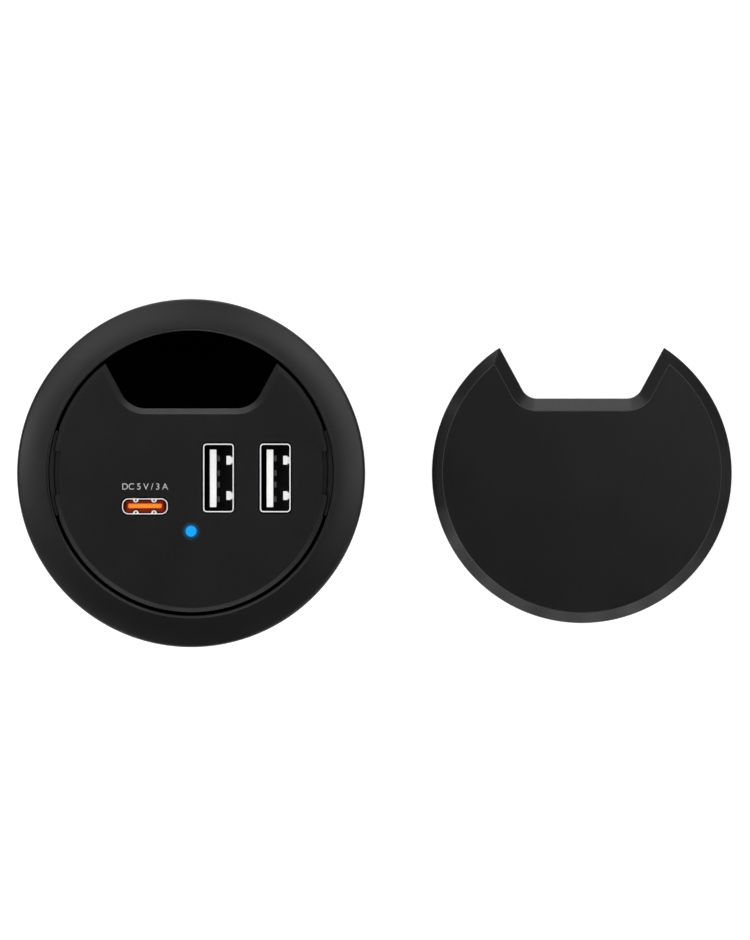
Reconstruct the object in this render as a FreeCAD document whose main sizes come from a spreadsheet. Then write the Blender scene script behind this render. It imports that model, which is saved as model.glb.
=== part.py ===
import FreeCAD, Part
import math
import os
import re
import Sketcher

# In-desk USB charger for a round cable hole in a desk top, with its cover taken off.
# Millimetres and degrees. Origin on the sleeve's axis, in the underside of the flange, where
# the flange meets the desk. +Z is up out of the desk, +Y is the side of the cable outlet.

# The driving dimensions
SIZES = {
    # Desk sleeve: a flange on the desk and a threaded tube through it
    "bore_radius": 27.0,
    "sleeve_wall": 1.8,
    "sleeve_length": 40.0,
    "flange_overlap": 3.25,
    "flange_edge_height": 1.5,
    "flange_edge_round": 0.55,
    "flange_dome_radius": 40.0,
    "ridge_height": 2.2,
    "ridge_width": 0.4,
    "ridge_bevel": 0.12,
    "ridge_groove_width": 0.22,
    "ridge_groove_depth": 0.35,
    "neck_length": 8.0,
    "neck_rise": 0.15,
    "lip_width": 2.4,
    "lip_thick": 1.4,
    "snap_groove_level": 5.0,
    "snap_groove_width": 1.4,
    "snap_groove_depth": 0.5,
    "key_slot_width": 5.0,
    "key_slot_depth": 0.8,
    "key_slot_top": 9.5,
    # Clamping thread, washer and nut
    "thread_pitch": 3.0,
    "thread_turns": 9.0,
    "thread_depth": 0.8,
    "thread_root_width": 1.6,
    "thread_crest_width": 0.8,
    "thread_start": 1.6,
    "thread_overlap": 0.2,
    "thread_clearance": 0.2,
    "nut_bore_clearance": 0.25,
    "nut_thread_turns": 1.7,
    "nut_thread_inset": 1.5,
    "nut_height": 8.0,
    "nut_width": 2.65,
    "nut_pitches_up": 3.0,
    "grip_count": 24,
    "grip_radius": 1.3,
    "grip_depth": 0.6,
    "washer_thick": 2.0,
    "washer_extra": 0.3,
    "key_clearance": 0.2,
    # Port panel and the notch that lets cables out
    "module_gap": 0.6,
    "panel_rise": 1.0,
    "panel_thick": 2.0,
    "panel_bevel_width": 0.95,
    "panel_bevel_height": 0.75,
    "notch_bevel_width": 1.14,
    "notch_floor": 12.28,
    "notch_half_width": 11.62,
    "notch_lean": 28.4,
    "notch_round": 5.1,
    "window_half_angle": 18.2,
    "window_depth": 0.2,
    "catch_half_angle": 9.3,
    "catch_width": 1.2,
    "catch_depth": 1.1,
    "catch_slot_width": 0.5,
    "post_radius": 2.0,
    "post_inset": 3.0,
    "post_high_angle": 27.0,
    "post_low_angle": 52.0,
    # Housing under the panel
    "housing_step": 0.5,
    "housing_wall": 1.5,
    "column_radius": 3.4,
    "column_inset": 3.2,
    "column_high_angle": 20.0,
    "column_low_angle": 55.0,
    "arm_half_angle": 17.6,
    "arm_clearance": 0.1,
    "arm_pad_thick": 0.3,
    "arm_pad_play": 0.4,
    "arm_drop": 0.35,
    "arm_root_level": 10.0,
    "arm_root_height": 3.0,
    "arm_hook": 0.35,
    "arm_hook_height": 1.0,
    "base_thick": 2.0,
    # Screws
    "screw_radius": 1.1,
    "screw_head_radius": 2.1,
    "screw_head_height": 1.3,
    "screw_length": 5.6,
    "screw_fit": 0.03,
    "screw_hole_clearance": 0.15,
    "screw_hole_spare": 0.6,
    "screw_recess_width": 1.2,
    "screw_recess_depth": 0.7,
    # Circuit boards
    "board_thick": 1.6,
    "board_gap": 0.6,
    # Standard A receptacles, standing on end
    "port_depth": 14.7,
    "usb_a_left_x": 5.2,
    "usb_a_spacing": 10.76,
    "usb_a_y": -0.91,
    "usb_a_width": 5.93,
    "usb_a_length": 13.1,
    "usb_sheet": 0.32,
    "usb_corner": 0.6,
    "port_gap": 0.12,
    "tongue_a_offset": 1.31,
    "tongue_a_thick": 1.29,
    "tongue_a_length": 10.93,
    "tongue_a_shift": 0.08,
    "tongue_a_recess": 0.7,
    "block_height": 4.0,
    "contact_a_width": 1.06,
    "contact_a_thick": 0.59,
    "contact_a_inner": 1.1,
    "contact_a_outer": 3.87,
    "contact_a_shift": 0.18,
    "contact_a_recess": 0.8,
    "spring_width": 1.7,
    "spring_place": 3.35,
    "spring_thick": 0.25,
    "spring_reach": 1.15,
    "spring_top": 1.2,
    "spring_length": 7.0,
    # C receptacle, standing on end
    "usb_c_x": -8.73,
    "usb_c_y": -6.3,
    "usb_c_length": 8.94,
    "usb_c_width": 3.16,
    "tongue_c_length": 6.48,
    "tongue_c_thick": 0.8,
    "tongue_c_recess": 0.9,
    "block_c_height": 8.9,
    "contact_c_count": 12,
    "contact_c_pitch": 0.5,
    "contact_c_width": 0.26,
    "contact_c_thick": 0.08,
    "contact_c_recess": 0.5,
    "bump_radius": 0.5,
    "bump_hole_radius": 0.17,
    "bump_hole_inset": 0.3,
    "bump_place": 1.72,
    "bump_recess": 0.5,
    "bump_length": 3.5,
    # Status light
    "light_y": -11.0,
    "light_radius": 1.05,
    "light_clearance": 0.03,
    "light_flange": 0.6,
    "light_flange_thick": 0.8,
    "light_gap": 0.3,
    "led_length": 2.0,
    "led_width": 1.25,
    "led_height": 0.8,
    # Parts on the power board
    "inductor_x": 1.0,
    "inductor_y": 3.0,
    "inductor_side": 10.0,
    "inductor_height": 4.2,
    "inductor_round": 1.6,
    "capacitor_radius": 3.15,
    "capacitor_headroom": 1.8,
    "capacitor_foot": 0.9,
    "capacitor_spread": 8.2,
    "capacitor_near_y": -11.5,
    "capacitor_far_y": -15.0,
    "chip_side": 5.0,
    "chip_height": 0.9,
    "chip_x": 12.0,
    "chip_high_y": 1.5,
    "chip_low_y": -4.8,
    "small_part_length": 1.6,
    "small_part_width": 0.8,
    "small_part_height": 0.7,
    "small_part_count": 5,
    "small_part_pitch": 2.2,
    "small_part_x": -4.4,
    "small_part_y": -4.6,
    "header_x": -17.0,
    "header_y": -2.0,
    "header_pitch": 2.54,
    "header_rows": 5,
    "header_pin": 0.64,
    "header_block": 2.5,
    # Power inlet in the base
    "jack_x": 0.0,
    "jack_y": -3.0,
    "jack_height": 14.0,
    "jack_width": 9.0,
    "jack_length": 11.0,
    "jack_nose_radius": 4.1,
    "jack_nose_clearance": 0.1,
    "jack_recess": 0.4,
    "jack_bore_radius": 2.8,
    "jack_bore_depth": 9.5,
    "jack_pin_radius": 1.0,
    "jack_pin_inset": 0.6,
    "jack_spring_width": 2.0,
    "jack_spring_thick": 0.3,
    "jack_spring_reach": 0.6,
    "jack_spring_length": 6.0,
    "jack_spring_inset": 2.0,
    # Cover, a shallow cap that drops over the raised panel
    "cover_x": 74.35,
    "cover_gap": 0.2,
    "cover_wall": 2.05,
    "cover_notch_wall": 1.85,
    "cover_top": 1.7,
    "cover_headroom": 0.3,
    "cover_bevel_width": 2.0,
    "cover_bevel_height": 1.55,
    "cover_notch_bevel": 2.37,
    "lug_thick": 0.6,
    "lug_side_clearance": 1.2,
    "lug_play": 0.1,
}

PIECES = []

doc = FreeCAD.newDocument("in_desk_usb_charger")
sheet = doc.addObject("Spreadsheet::Sheet", "Sizes")
for row, (alias, number) in enumerate(SIZES.items(), 1):
    sheet.set("A%d" % row, alias)
    sheet.set("B%d" % row, str(number))
    sheet.setAlias("B%d" % row, alias)
doc.recompute()


def words(text):
    """Turn plain names of sizes in a formula into references to the sheet."""
    return re.sub(r"[a-z][a-z_]*", lambda found: ("Sizes." if found.group() in SIZES else "")
                  + found.group(), text)


def value(text):
    """The number that a formula of sizes gives now."""
    return float(sheet.evalExpression(words(text)))


def bind(thing, field, text):
    """Bind a property of a document object to a formula of sizes."""
    thing.setExpression(field, words(text))


# Levels and radii that several pieces share
ROOT_RADIUS = "(bore_radius + sleeve_wall)"
CREST_RADIUS = "(bore_radius + sleeve_wall + thread_depth)"
NECK_RADIUS = "(bore_radius + sleeve_wall + thread_depth + neck_rise)"
FLANGE_RADIUS = "(bore_radius + sleeve_wall + thread_depth + neck_rise + flange_overlap)"
RIDGE_RADIUS = "(bore_radius + ridge_width)"
DOME_RADIUS = "(bore_radius + ridge_width + ridge_groove_width)"
LIP_TOP = "(lip_thick - sleeve_length)"
BASE_TOP = "(lip_thick - sleeve_length + base_thick)"
PANEL_TOP = "(ridge_height + panel_rise)"
PANEL_BOTTOM = "(ridge_height + panel_rise - panel_thick)"
PANEL_RADIUS = "(bore_radius - module_gap)"
ARM_RADIUS = "(bore_radius - module_gap - window_depth)"
HOUSING_INSIDE = "(bore_radius - module_gap - housing_step - housing_wall)"
PORT_BOARD_TOP = "(ridge_height + panel_rise - port_depth)"
PORT_BOARD_BOTTOM = "(ridge_height + panel_rise - port_depth - board_thick)"
POWER_BOARD_BOTTOM = "(lip_thick - sleeve_length + jack_recess + jack_height)"
POWER_BOARD_TOP = "(lip_thick - sleeve_length + jack_recess + jack_height + board_thick)"
NUT_BORE = "(bore_radius + sleeve_wall + thread_depth + nut_bore_clearance)"
NUT_RADIUS = "(bore_radius + sleeve_wall + thread_depth + nut_bore_clearance + nut_width)"
NUT_BOTTOM = ("(thread_start - sleeve_length + (nut_pitches_up + 0.5) * thread_pitch"
              " - nut_thread_inset)")
NUT_TOP = "(" + NUT_BOTTOM + " + nut_height)"
BOARD_GROW = "(0 - housing_step - housing_wall - board_gap)"


def body(name):
    """A new sub-part, whose label names its file."""
    made = doc.addObject("PartDesign::Body", name)
    made.Label = name
    PIECES.append(made)
    return made


def sketch(owner, name, plane="XY_Plane", level="0"):
    """A sketch on one of the body's origin planes, moved along its normal to a level."""
    made = owner.newObject("Sketcher::SketchObject", name)
    support = [part for part in owner.Origin.OriginFeatures if part.Role == plane][0]
    made.AttachmentSupport = [(support, "")]
    made.MapMode = "FlatFace"
    bind(made, "AttachmentOffset.Base.z", level)
    return made


def constrain(made, kind, places, text=None):
    """Add a constraint, with its size bound to a formula where it has one."""
    if text is None:
        made.addConstraint(Sketcher.Constraint(kind, *places))
        return
    number = value(text)
    if kind == "Angle":
        number = math.radians(number)
    index = made.addConstraint(Sketcher.Constraint(kind, *places, number))
    made.setExpression("Constraints[%d]" % index, words(text))


def pin(made, edge, end, across, up):
    """Hold a point of a sketch at two formulas from the sketch's origin."""
    constrain(made, "DistanceX", (-1, 1, edge, end), across)
    constrain(made, "DistanceY", (-1, 1, edge, end), up)


def join(made, edges):
    """Join the end of each edge to the start of the next, all the way round."""
    for place, edge in enumerate(edges):
        following = edges[(place + 1) % len(edges)]
        made.addConstraint(Sketcher.Constraint("Coincident", edge, 2, following, 1))


def polygon(made, corners, domes=None):
    """A closed outline through corners given as formulas, anti-clockwise where it has domes.

    domes gives the radius of each edge that bulges outward, by the number of its first corner.
    """
    domes = domes or {}
    points = [FreeCAD.Vector(value(across), value(up), 0) for across, up in corners]
    edges = []
    for place, point in enumerate(points):
        following = points[(place + 1) % len(points)]
        if place in domes:
            radius = value(domes[place])
            chord = following - point
            inward = FreeCAD.Vector(-chord.y, chord.x, 0).normalize()
            depth = math.sqrt(radius ** 2 - chord.Length ** 2 / 4)
            middle = (point + following) / 2
            centre = middle + inward * depth
            crown = centre - inward * radius
            edges.append(made.addGeometry(Part.Arc(point, crown, following)))
        else:
            edges.append(made.addGeometry(Part.LineSegment(point, following)))
    join(made, edges)
    for edge, (across, up) in zip(edges, corners):
        pin(made, edge, 1, across, up)
    for place, radius in domes.items():
        constrain(made, "Radius", (edges[place],), radius)


def rectangle(made, across, up, width, height):
    """A rectangle about a centre given as formulas."""
    left = "(%s) - (%s) / 2" % (across, width)
    right = "(%s) + (%s) / 2" % (across, width)
    low = "(%s) - (%s) / 2" % (up, height)
    high = "(%s) + (%s) / 2" % (up, height)
    polygon(made, [(left, low), (right, low), (right, high), (left, high)])


def circle(made, across, up, radius):
    """A circle about a centre given as formulas."""
    centre = FreeCAD.Vector(value(across), value(up), 0)
    edge = made.addGeometry(Part.Circle(centre, FreeCAD.Vector(0, 0, 1), value(radius)))
    pin(made, edge, 3, across, up)
    constrain(made, "Radius", (edge,), radius)


def arc(made, centre, radius, start, end):
    """An arc in a sketch, counter-clockwise from one angle in degrees to another."""
    whole = Part.Circle(FreeCAD.Vector(*centre, 0), FreeCAD.Vector(0, 0, 1), radius)
    return made.addGeometry(Part.ArcOfCircle(whole, math.radians(start), math.radians(end)))


def stadium(made, across, up, length, width):
    """A flat-sided outline with round ends, lying along the sketch's first axis."""
    radius = value(width) / 2
    half = value(length) / 2 - radius
    middle = FreeCAD.Vector(value(across), value(up), 0)
    right = arc(made, (middle.x + half, middle.y), radius, -90, 90)
    left = arc(made, (middle.x - half, middle.y), radius, 90, 270)
    top = made.addGeometry(Part.LineSegment(middle + FreeCAD.Vector(half, radius, 0),
                                            middle + FreeCAD.Vector(-half, radius, 0)))
    low = made.addGeometry(Part.LineSegment(middle + FreeCAD.Vector(-half, -radius, 0),
                                            middle + FreeCAD.Vector(half, -radius, 0)))
    for first, second in ((right, top), (top, left), (left, low), (low, right)):
        made.addConstraint(Sketcher.Constraint("Tangent", first, 2, second, 1))
    constrain(made, "Radius", (right,), "(%s) / 2" % width)
    pin(made, right, 3, "(%s) + (%s) / 2 - (%s) / 2" % (across, length, width), up)
    constrain(made, "DistanceX", (-1, 1, left, 3),
              "(%s) - (%s) / 2 + (%s) / 2" % (across, length, width))
    constrain(made, "DistanceY", (-1, 1, left, 3), up)


def sector(made, inner, outer, half_angle, side):
    """A piece of a ring about the origin, centred on the +X side or the -X side."""
    middle = 0 if side > 0 else 180
    spread = value(half_angle)
    edges = []
    for radius in (outer, inner):
        edge = arc(made, (0, 0), value(radius), middle - spread, middle + spread)
        made.addConstraint(Sketcher.Constraint("Coincident", edge, 3, -1, 1))
        across = "%d * (%s) * cos(%s)" % (side, radius, half_angle)
        pin(made, edge, 1, across, "%d * (%s) * sin(%s)" % (-side, radius, half_angle))
        constrain(made, "DistanceY", (-1, 1, edge, 2),
                  "%d * (%s) * sin(%s)" % (side, radius, half_angle))
        edges.append(edge)
    for end in (1, 2):
        first = made.getPoint(edges[0], end)
        second = made.getPoint(edges[1], end)
        line = made.addGeometry(Part.LineSegment(first, second))
        made.addConstraint(Sketcher.Constraint("Coincident", line, 1, edges[0], end))
        made.addConstraint(Sketcher.Constraint("Coincident", line, 2, edges[1], end))


def notched_disc(made, rim_grow="0", grow=None):
    """The panel's outline, a disc with a flared cable notch, its rim and notch grown by formulas."""
    grow = grow or rim_grow
    out = value(grow)
    radius = value(PANEL_RADIUS) + value(rim_grow)
    lean = math.radians(value("notch_lean"))
    floor = value("notch_floor") + out
    corner = value("notch_round") - out
    reach = value("notch_half_width * cos(notch_lean) - notch_floor * sin(notch_lean)") - out
    along = FreeCAD.Vector(math.sin(lean), math.cos(lean), 0)
    foot = FreeCAD.Vector(reach * math.cos(lean), -reach * math.sin(lean), 0)
    tip = foot + along * math.sqrt(radius ** 2 - reach ** 2)
    # The corner's centre lies one corner radius above the floor and inside the side line
    centre_y = floor + corner
    centre_x = (reach - corner + centre_y * math.sin(lean)) / math.cos(lean)
    touch = FreeCAD.Vector(centre_x + corner * math.cos(lean), centre_y - corner * math.sin(lean), 0)
    tip_angle = math.degrees(math.atan2(tip.y, tip.x))
    lean_degrees = value("notch_lean")

    def mirrored(point):
        return FreeCAD.Vector(-point.x, point.y, 0)

    rim = arc(made, (0, 0), radius, 180 - tip_angle, 360 + tip_angle)
    right = made.addGeometry(Part.LineSegment(touch, tip))
    right_corner = arc(made, (centre_x, centre_y), corner, -90, -lean_degrees)
    low = made.addGeometry(Part.LineSegment(FreeCAD.Vector(-centre_x, floor, 0),
                                            FreeCAD.Vector(centre_x, floor, 0)))
    left_corner = arc(made, (-centre_x, centre_y), corner, 180 + lean_degrees, 270)
    left = made.addGeometry(Part.LineSegment(mirrored(tip), mirrored(touch)))
    made.addConstraint(Sketcher.Constraint("Coincident", rim, 3, -1, 1))
    made.addConstraint(Sketcher.Constraint("Coincident", rim, 2, right, 2))
    made.addConstraint(Sketcher.Constraint("Coincident", rim, 1, left, 1))
    made.addConstraint(Sketcher.Constraint("Tangent", right, 1, right_corner, 2))
    made.addConstraint(Sketcher.Constraint("Tangent", low, 2, right_corner, 1))
    made.addConstraint(Sketcher.Constraint("Tangent", low, 1, left_corner, 2))
    made.addConstraint(Sketcher.Constraint("Tangent", left, 2, left_corner, 1))
    constrain(made, "Radius", (rim,), "%s + %s" % (PANEL_RADIUS, rim_grow))
    constrain(made, "DistanceY", (-1, 1, low, 1), "notch_floor + %s" % grow)
    made.addConstraint(Sketcher.Constraint("Horizontal", low))
    side = "notch_half_width * cos(notch_lean) - notch_floor * sin(notch_lean) - (%s)" % grow
    constrain(made, "Angle", (right,), "90 - notch_lean")
    constrain(made, "Angle", (left,), "notch_lean - 90")
    constrain(made, "Distance", (-1, 1, right), side)
    constrain(made, "Distance", (-1, 1, left), side)
    for edge in (right_corner, left_corner):
        constrain(made, "Radius", (edge,), "notch_round - (%s)" % grow)


def feature(owner, kind, profile):
    """A feature of a body that uses a sketch."""
    made = owner.newObject("PartDesign::" + kind, "%s_%s" % (profile.Name, kind.lower()))
    made.Profile = profile
    return made


def pad(owner, profile, length, downward=False):
    """Pad a sketch upward or downward."""
    made = feature(owner, "Pad", profile)
    bind(made, "Length", length)
    made.Reversed = downward
    doc.recompute()
    return made


def pad_across(owner, profile, length):
    """Pad a sketch half to each side of its plane."""
    made = feature(owner, "Pad", profile)
    made.Midplane = True
    bind(made, "Length", length)
    doc.recompute()
    return made


def cut_check(owner, made, before):
    """Stop if a cut took nothing away."""
    doc.recompute()
    if owner.Shape.Volume > before - 1e-6:
        raise RuntimeError(made.Name + " cuts nothing")
    return made


def pocket(owner, profile, length, upward=False):
    """Cut a sketch downward or upward into the body."""
    before = owner.Shape.Volume
    made = feature(owner, "Pocket", profile)
    bind(made, "Length", length)
    made.Reversed = upward
    return cut_check(owner, made, before)


def revolve(owner, profile):
    """Turn a sketch in the XZ plane about the Z axis."""
    made = feature(owner, "Revolution", profile)
    made.ReferenceAxis = (profile, ["V_Axis"])
    made.Angle = 360
    doc.recompute()
    return made


def bevel_rim(owner, radius, top, width, height):
    """Bevel the top edge of a disc all round."""
    corner = sketch(owner, owner.Name + "_rim", "XZ_Plane")
    outside = "%s + %s" % (radius, width)
    polygon(corner, [("%s - %s" % (radius, width), top), (outside, top),
                     (outside, "%s - 2 * %s" % (top, height))])
    before = owner.Shape.Volume
    made = feature(owner, "Groove", corner)
    made.ReferenceAxis = (corner, ["V_Axis"])
    made.Angle = 360
    return cut_check(owner, made, before)


def helix(owner, profile, turns):
    """Sweep a thread's section up a right-handed helix about the Z axis."""
    made = feature(owner, "AdditiveHelix", profile)
    made.ReferenceAxis = (profile, ["V_Axis"])
    made.Mode = 1
    bind(made, "Pitch", "thread_pitch")
    bind(made, "Turns", turns)
    made.LeftHanded = False
    doc.recompute()
    return made


def edges_where(owner, test):
    """Names of a body's edges that pass a test."""
    return ["Edge%d" % (place + 1) for place, edge in enumerate(owner.Shape.Edges) if test(edge)]


def flat_at(level):
    """A test for edges that lie flat at a level."""
    def test(edge):
        box = edge.BoundBox
        return abs(box.ZMin - level) < 1e-4 and abs(box.ZMax - level) < 1e-4
    return test


def along_notch(level):
    """A test for the edges of the cable notch at a level."""
    def test(edge):
        return flat_at(level)(edge) and edge.BoundBox.YMin > 0
    return test


def upright(edge):
    """A test for straight edges along Z."""
    box = edge.BoundBox
    return box.XLength < 1e-4 and box.YLength < 1e-4 and box.ZLength > 1e-3


def soften(owner, kind, edges, amount, second=None):
    """Round or bevel some of a body's edges."""
    base = owner.Tip
    made = owner.newObject("PartDesign::" + kind, owner.Name + "_" + kind.lower())
    made.Base = (base, edges)
    if kind == "Fillet":
        bind(made, "Radius", amount)
    else:
        bind(made, "Size", amount)
        if second:
            made.ChamferType = "Two distances"
            bind(made, "Size2", second)
    doc.recompute()
    return made


def ring_places(ring, high_angle, low_angle):
    """Four places on a circle, two beside the notch and two on the far side."""
    places = []
    for side in (1, -1):
        for turn, angle in ((1, high_angle), (-1, low_angle)):
            places.append(("%d * (%s) * cos(%s)" % (side, ring, angle),
                           "%d * (%s) * sin(%s)" % (turn, ring, angle)))
    return places


POSTS = ring_places(HOUSING_INSIDE + " - post_inset", "post_high_angle", "post_low_angle")
COLUMNS = ring_places(HOUSING_INSIDE + " - column_inset", "column_high_angle", "column_low_angle")


def circles_at(made, places, radius):
    """One circle at each of several places."""
    for across, up in places:
        circle(made, across, up, radius)


# Flange and threaded tube, with the ledge that carries the module
def desk_sleeve():
    piece = body("desk_sleeve")
    profile = sketch(piece, "sleeve_profile", "XZ_Plane")
    corners = [
        ("bore_radius", LIP_TOP),
        ("bore_radius - lip_width", LIP_TOP),
        ("bore_radius - lip_width", "0 - sleeve_length"),
        (ROOT_RADIUS, "0 - sleeve_length"),
        (ROOT_RADIUS, "0 - neck_length"),
        (NECK_RADIUS, "0 - neck_length"),
        (NECK_RADIUS, "0"),
        (FLANGE_RADIUS, "0"),
        (FLANGE_RADIUS, "flange_edge_height"),
        (DOME_RADIUS, "ridge_height - ridge_bevel"),
        (DOME_RADIUS, "ridge_height - ridge_groove_depth"),
        (RIDGE_RADIUS, "ridge_height - ridge_groove_depth"),
        (RIDGE_RADIUS, "ridge_height - ridge_bevel"),
        (RIDGE_RADIUS + " - ridge_bevel", "ridge_height"),
        ("bore_radius + ridge_bevel", "ridge_height"),
        ("bore_radius", "ridge_height - ridge_bevel"),
    ]
    rim = corners.index((FLANGE_RADIUS, "flange_edge_height"))
    polygon(profile, corners, {rim: "flange_dome_radius"})
    revolve(piece, profile)
    groove = sketch(piece, "snap_groove", "XZ_Plane")
    rectangle(groove, "bore_radius", "0 - snap_groove_level - snap_groove_width / 2",
              "2 * snap_groove_depth", "snap_groove_width")
    before = piece.Shape.Volume
    cut = feature(piece, "Groove", groove)
    cut.ReferenceAxis = (groove, ["V_Axis"])
    cut.Angle = 360
    cut_check(piece, cut, before)
    edge = flat_at(value("flange_edge_height"))
    soften(piece, "Fillet", edges_where(piece, edge), "flange_edge_round")
    thread = sketch(piece, "sleeve_thread", "XZ_Plane")
    middle = "thread_start - sleeve_length"
    slope = "(thread_root_width - thread_crest_width) / thread_depth"
    buried = "(thread_root_width + %s * thread_overlap) / 2" % slope
    polygon(thread, [
        (ROOT_RADIUS + " - thread_overlap", middle + " - " + buried),
        (CREST_RADIUS, middle + " - thread_crest_width / 2"),
        (CREST_RADIUS, middle + " + thread_crest_width / 2"),
        (ROOT_RADIUS + " - thread_overlap", middle + " + " + buried),
    ])
    helix(piece, thread, "thread_turns")
    slot = sketch(piece, "key_slot", "XY_Plane", "0 - key_slot_top")
    outside = "(%s + 1)" % CREST_RADIUS
    inside = "(%s - key_slot_depth)" % ROOT_RADIUS
    rectangle(slot, "0", "0 - (%s + %s) / 2" % (outside, inside), "key_slot_width",
              "%s - %s" % (outside, inside))
    pocket(piece, slot, "sleeve_length - key_slot_top")


# Keyed washer that the nut presses against the underside of the desk
def pressure_washer():
    piece = body("pressure_washer")
    profile = sketch(piece, "washer_ring", "XY_Plane", NUT_TOP)
    circle(profile, "0", "0", NUT_RADIUS + " + washer_extra")
    circle(profile, "0", "0", NUT_BORE)
    pad(piece, profile, "washer_thick")
    key = sketch(piece, "washer_key", "XY_Plane", NUT_TOP)
    tip = "(%s - key_slot_depth + key_clearance)" % ROOT_RADIUS
    heel = "(%s + nut_width / 2)" % NUT_BORE
    rectangle(key, "0", "0 - (%s + %s) / 2" % (tip, heel), "key_slot_width - 2 * key_clearance",
              "%s - %s" % (heel, tip))
    pad(piece, key, "washer_thick")


# Nut with an inner thread and finger grips
def clamp_nut():
    piece = body("clamp_nut")
    profile = sketch(piece, "nut_ring", "XY_Plane", NUT_BOTTOM)
    circle(profile, "0", "0", NUT_RADIUS)
    circle(profile, "0", "0", NUT_BORE)
    pad(piece, profile, "nut_height")
    grip = sketch(piece, "nut_grip", "XY_Plane", NUT_BOTTOM)
    circle(grip, NUT_RADIUS + " + grip_radius - grip_depth", "0", "grip_radius")
    cut = pocket(piece, grip, "nut_height", upward=True)
    pattern = piece.newObject("PartDesign::PolarPattern", "nut_grips")
    pattern.Originals = [cut]
    pattern.Axis = (grip, ["N_Axis"])
    pattern.Angle = 360
    bind(pattern, "Occurrences", "grip_count")
    piece.Tip = pattern
    doc.recompute()
    thread = sketch(piece, "nut_thread", "XZ_Plane")
    middle = NUT_BOTTOM + " + nut_thread_inset"
    slope = "(thread_root_width - thread_crest_width) / thread_depth"
    gap = "(thread_pitch - thread_root_width - 2 * thread_clearance + %s * %s)"
    inner = gap % (slope, "nut_bore_clearance")
    outer = gap % (slope, "(thread_depth + nut_bore_clearance + thread_overlap)")
    polygon(thread, [
        (ROOT_RADIUS + " + nut_bore_clearance", middle + " - " + inner + " / 2"),
        (NUT_BORE + " + thread_overlap", middle + " - " + outer + " / 2"),
        (NUT_BORE + " + thread_overlap", middle + " + " + outer + " / 2"),
        (ROOT_RADIUS + " + nut_bore_clearance", middle + " + " + inner + " / 2"),
    ])
    helix(piece, thread, "nut_thread_turns")


def usb_a_places():
    """The two A receptacles, each with its name and the formula of its place."""
    return (("left", "usb_a_left_x"), ("right", "(usb_a_left_x + usb_a_spacing)"))


# Face with the ports, its cable notch, its catches and the posts for the port board
def port_panel():
    piece = body("port_panel")
    outline = sketch(piece, "panel_outline", "XY_Plane", PANEL_BOTTOM)
    notched_disc(outline)
    pad(piece, outline, "panel_thick")
    soften(piece, "Chamfer", edges_where(piece, along_notch(value(PANEL_TOP))),
           "notch_bevel_width", "panel_bevel_height")
    bevel_rim(piece, PANEL_RADIUS, PANEL_TOP, "panel_bevel_width", "panel_bevel_height")
    windows = sketch(piece, "arm_windows", "XY_Plane", PANEL_TOP)
    catches = sketch(piece, "catches", "XY_Plane", PANEL_TOP)
    slots = sketch(piece, "catch_slots", "XY_Plane", PANEL_TOP)
    for side in (1, -1):
        sector(windows, ARM_RADIUS, "bore_radius", "window_half_angle", side)
        sector(catches, ARM_RADIUS + " - catch_width", "bore_radius", "catch_half_angle", side)
        sector(slots, ARM_RADIUS + " - catch_slot_width", "bore_radius", "catch_half_angle", side)
    pocket(piece, windows, "2 * panel_thick")
    pocket(piece, catches, "catch_depth")
    pocket(piece, slots, "2 * panel_thick")
    ports = sketch(piece, "port_openings", "XY_Plane", PANEL_TOP)
    for name, place in usb_a_places():
        rectangle(ports, place, "usb_a_y", "usb_a_width + 2 * port_gap",
                  "usb_a_length + 2 * port_gap")
    stadium(ports, "usb_c_x", "usb_c_y", "usb_c_length + 2 * port_gap",
            "usb_c_width + 2 * port_gap")
    circle(ports, "0", "light_y", "light_radius + light_clearance")
    pocket(piece, ports, "2 * panel_thick")
    posts = sketch(piece, "posts", "XY_Plane", PANEL_BOTTOM)
    circles_at(posts, POSTS, "post_radius")
    pad(piece, posts, "port_depth - panel_thick", downward=True)
    holes = sketch(piece, "post_holes", "XY_Plane", PORT_BOARD_TOP)
    circles_at(holes, POSTS, "screw_radius + screw_fit")
    pocket(piece, holes, "screw_length - board_thick + screw_hole_spare", upward=True)


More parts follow.
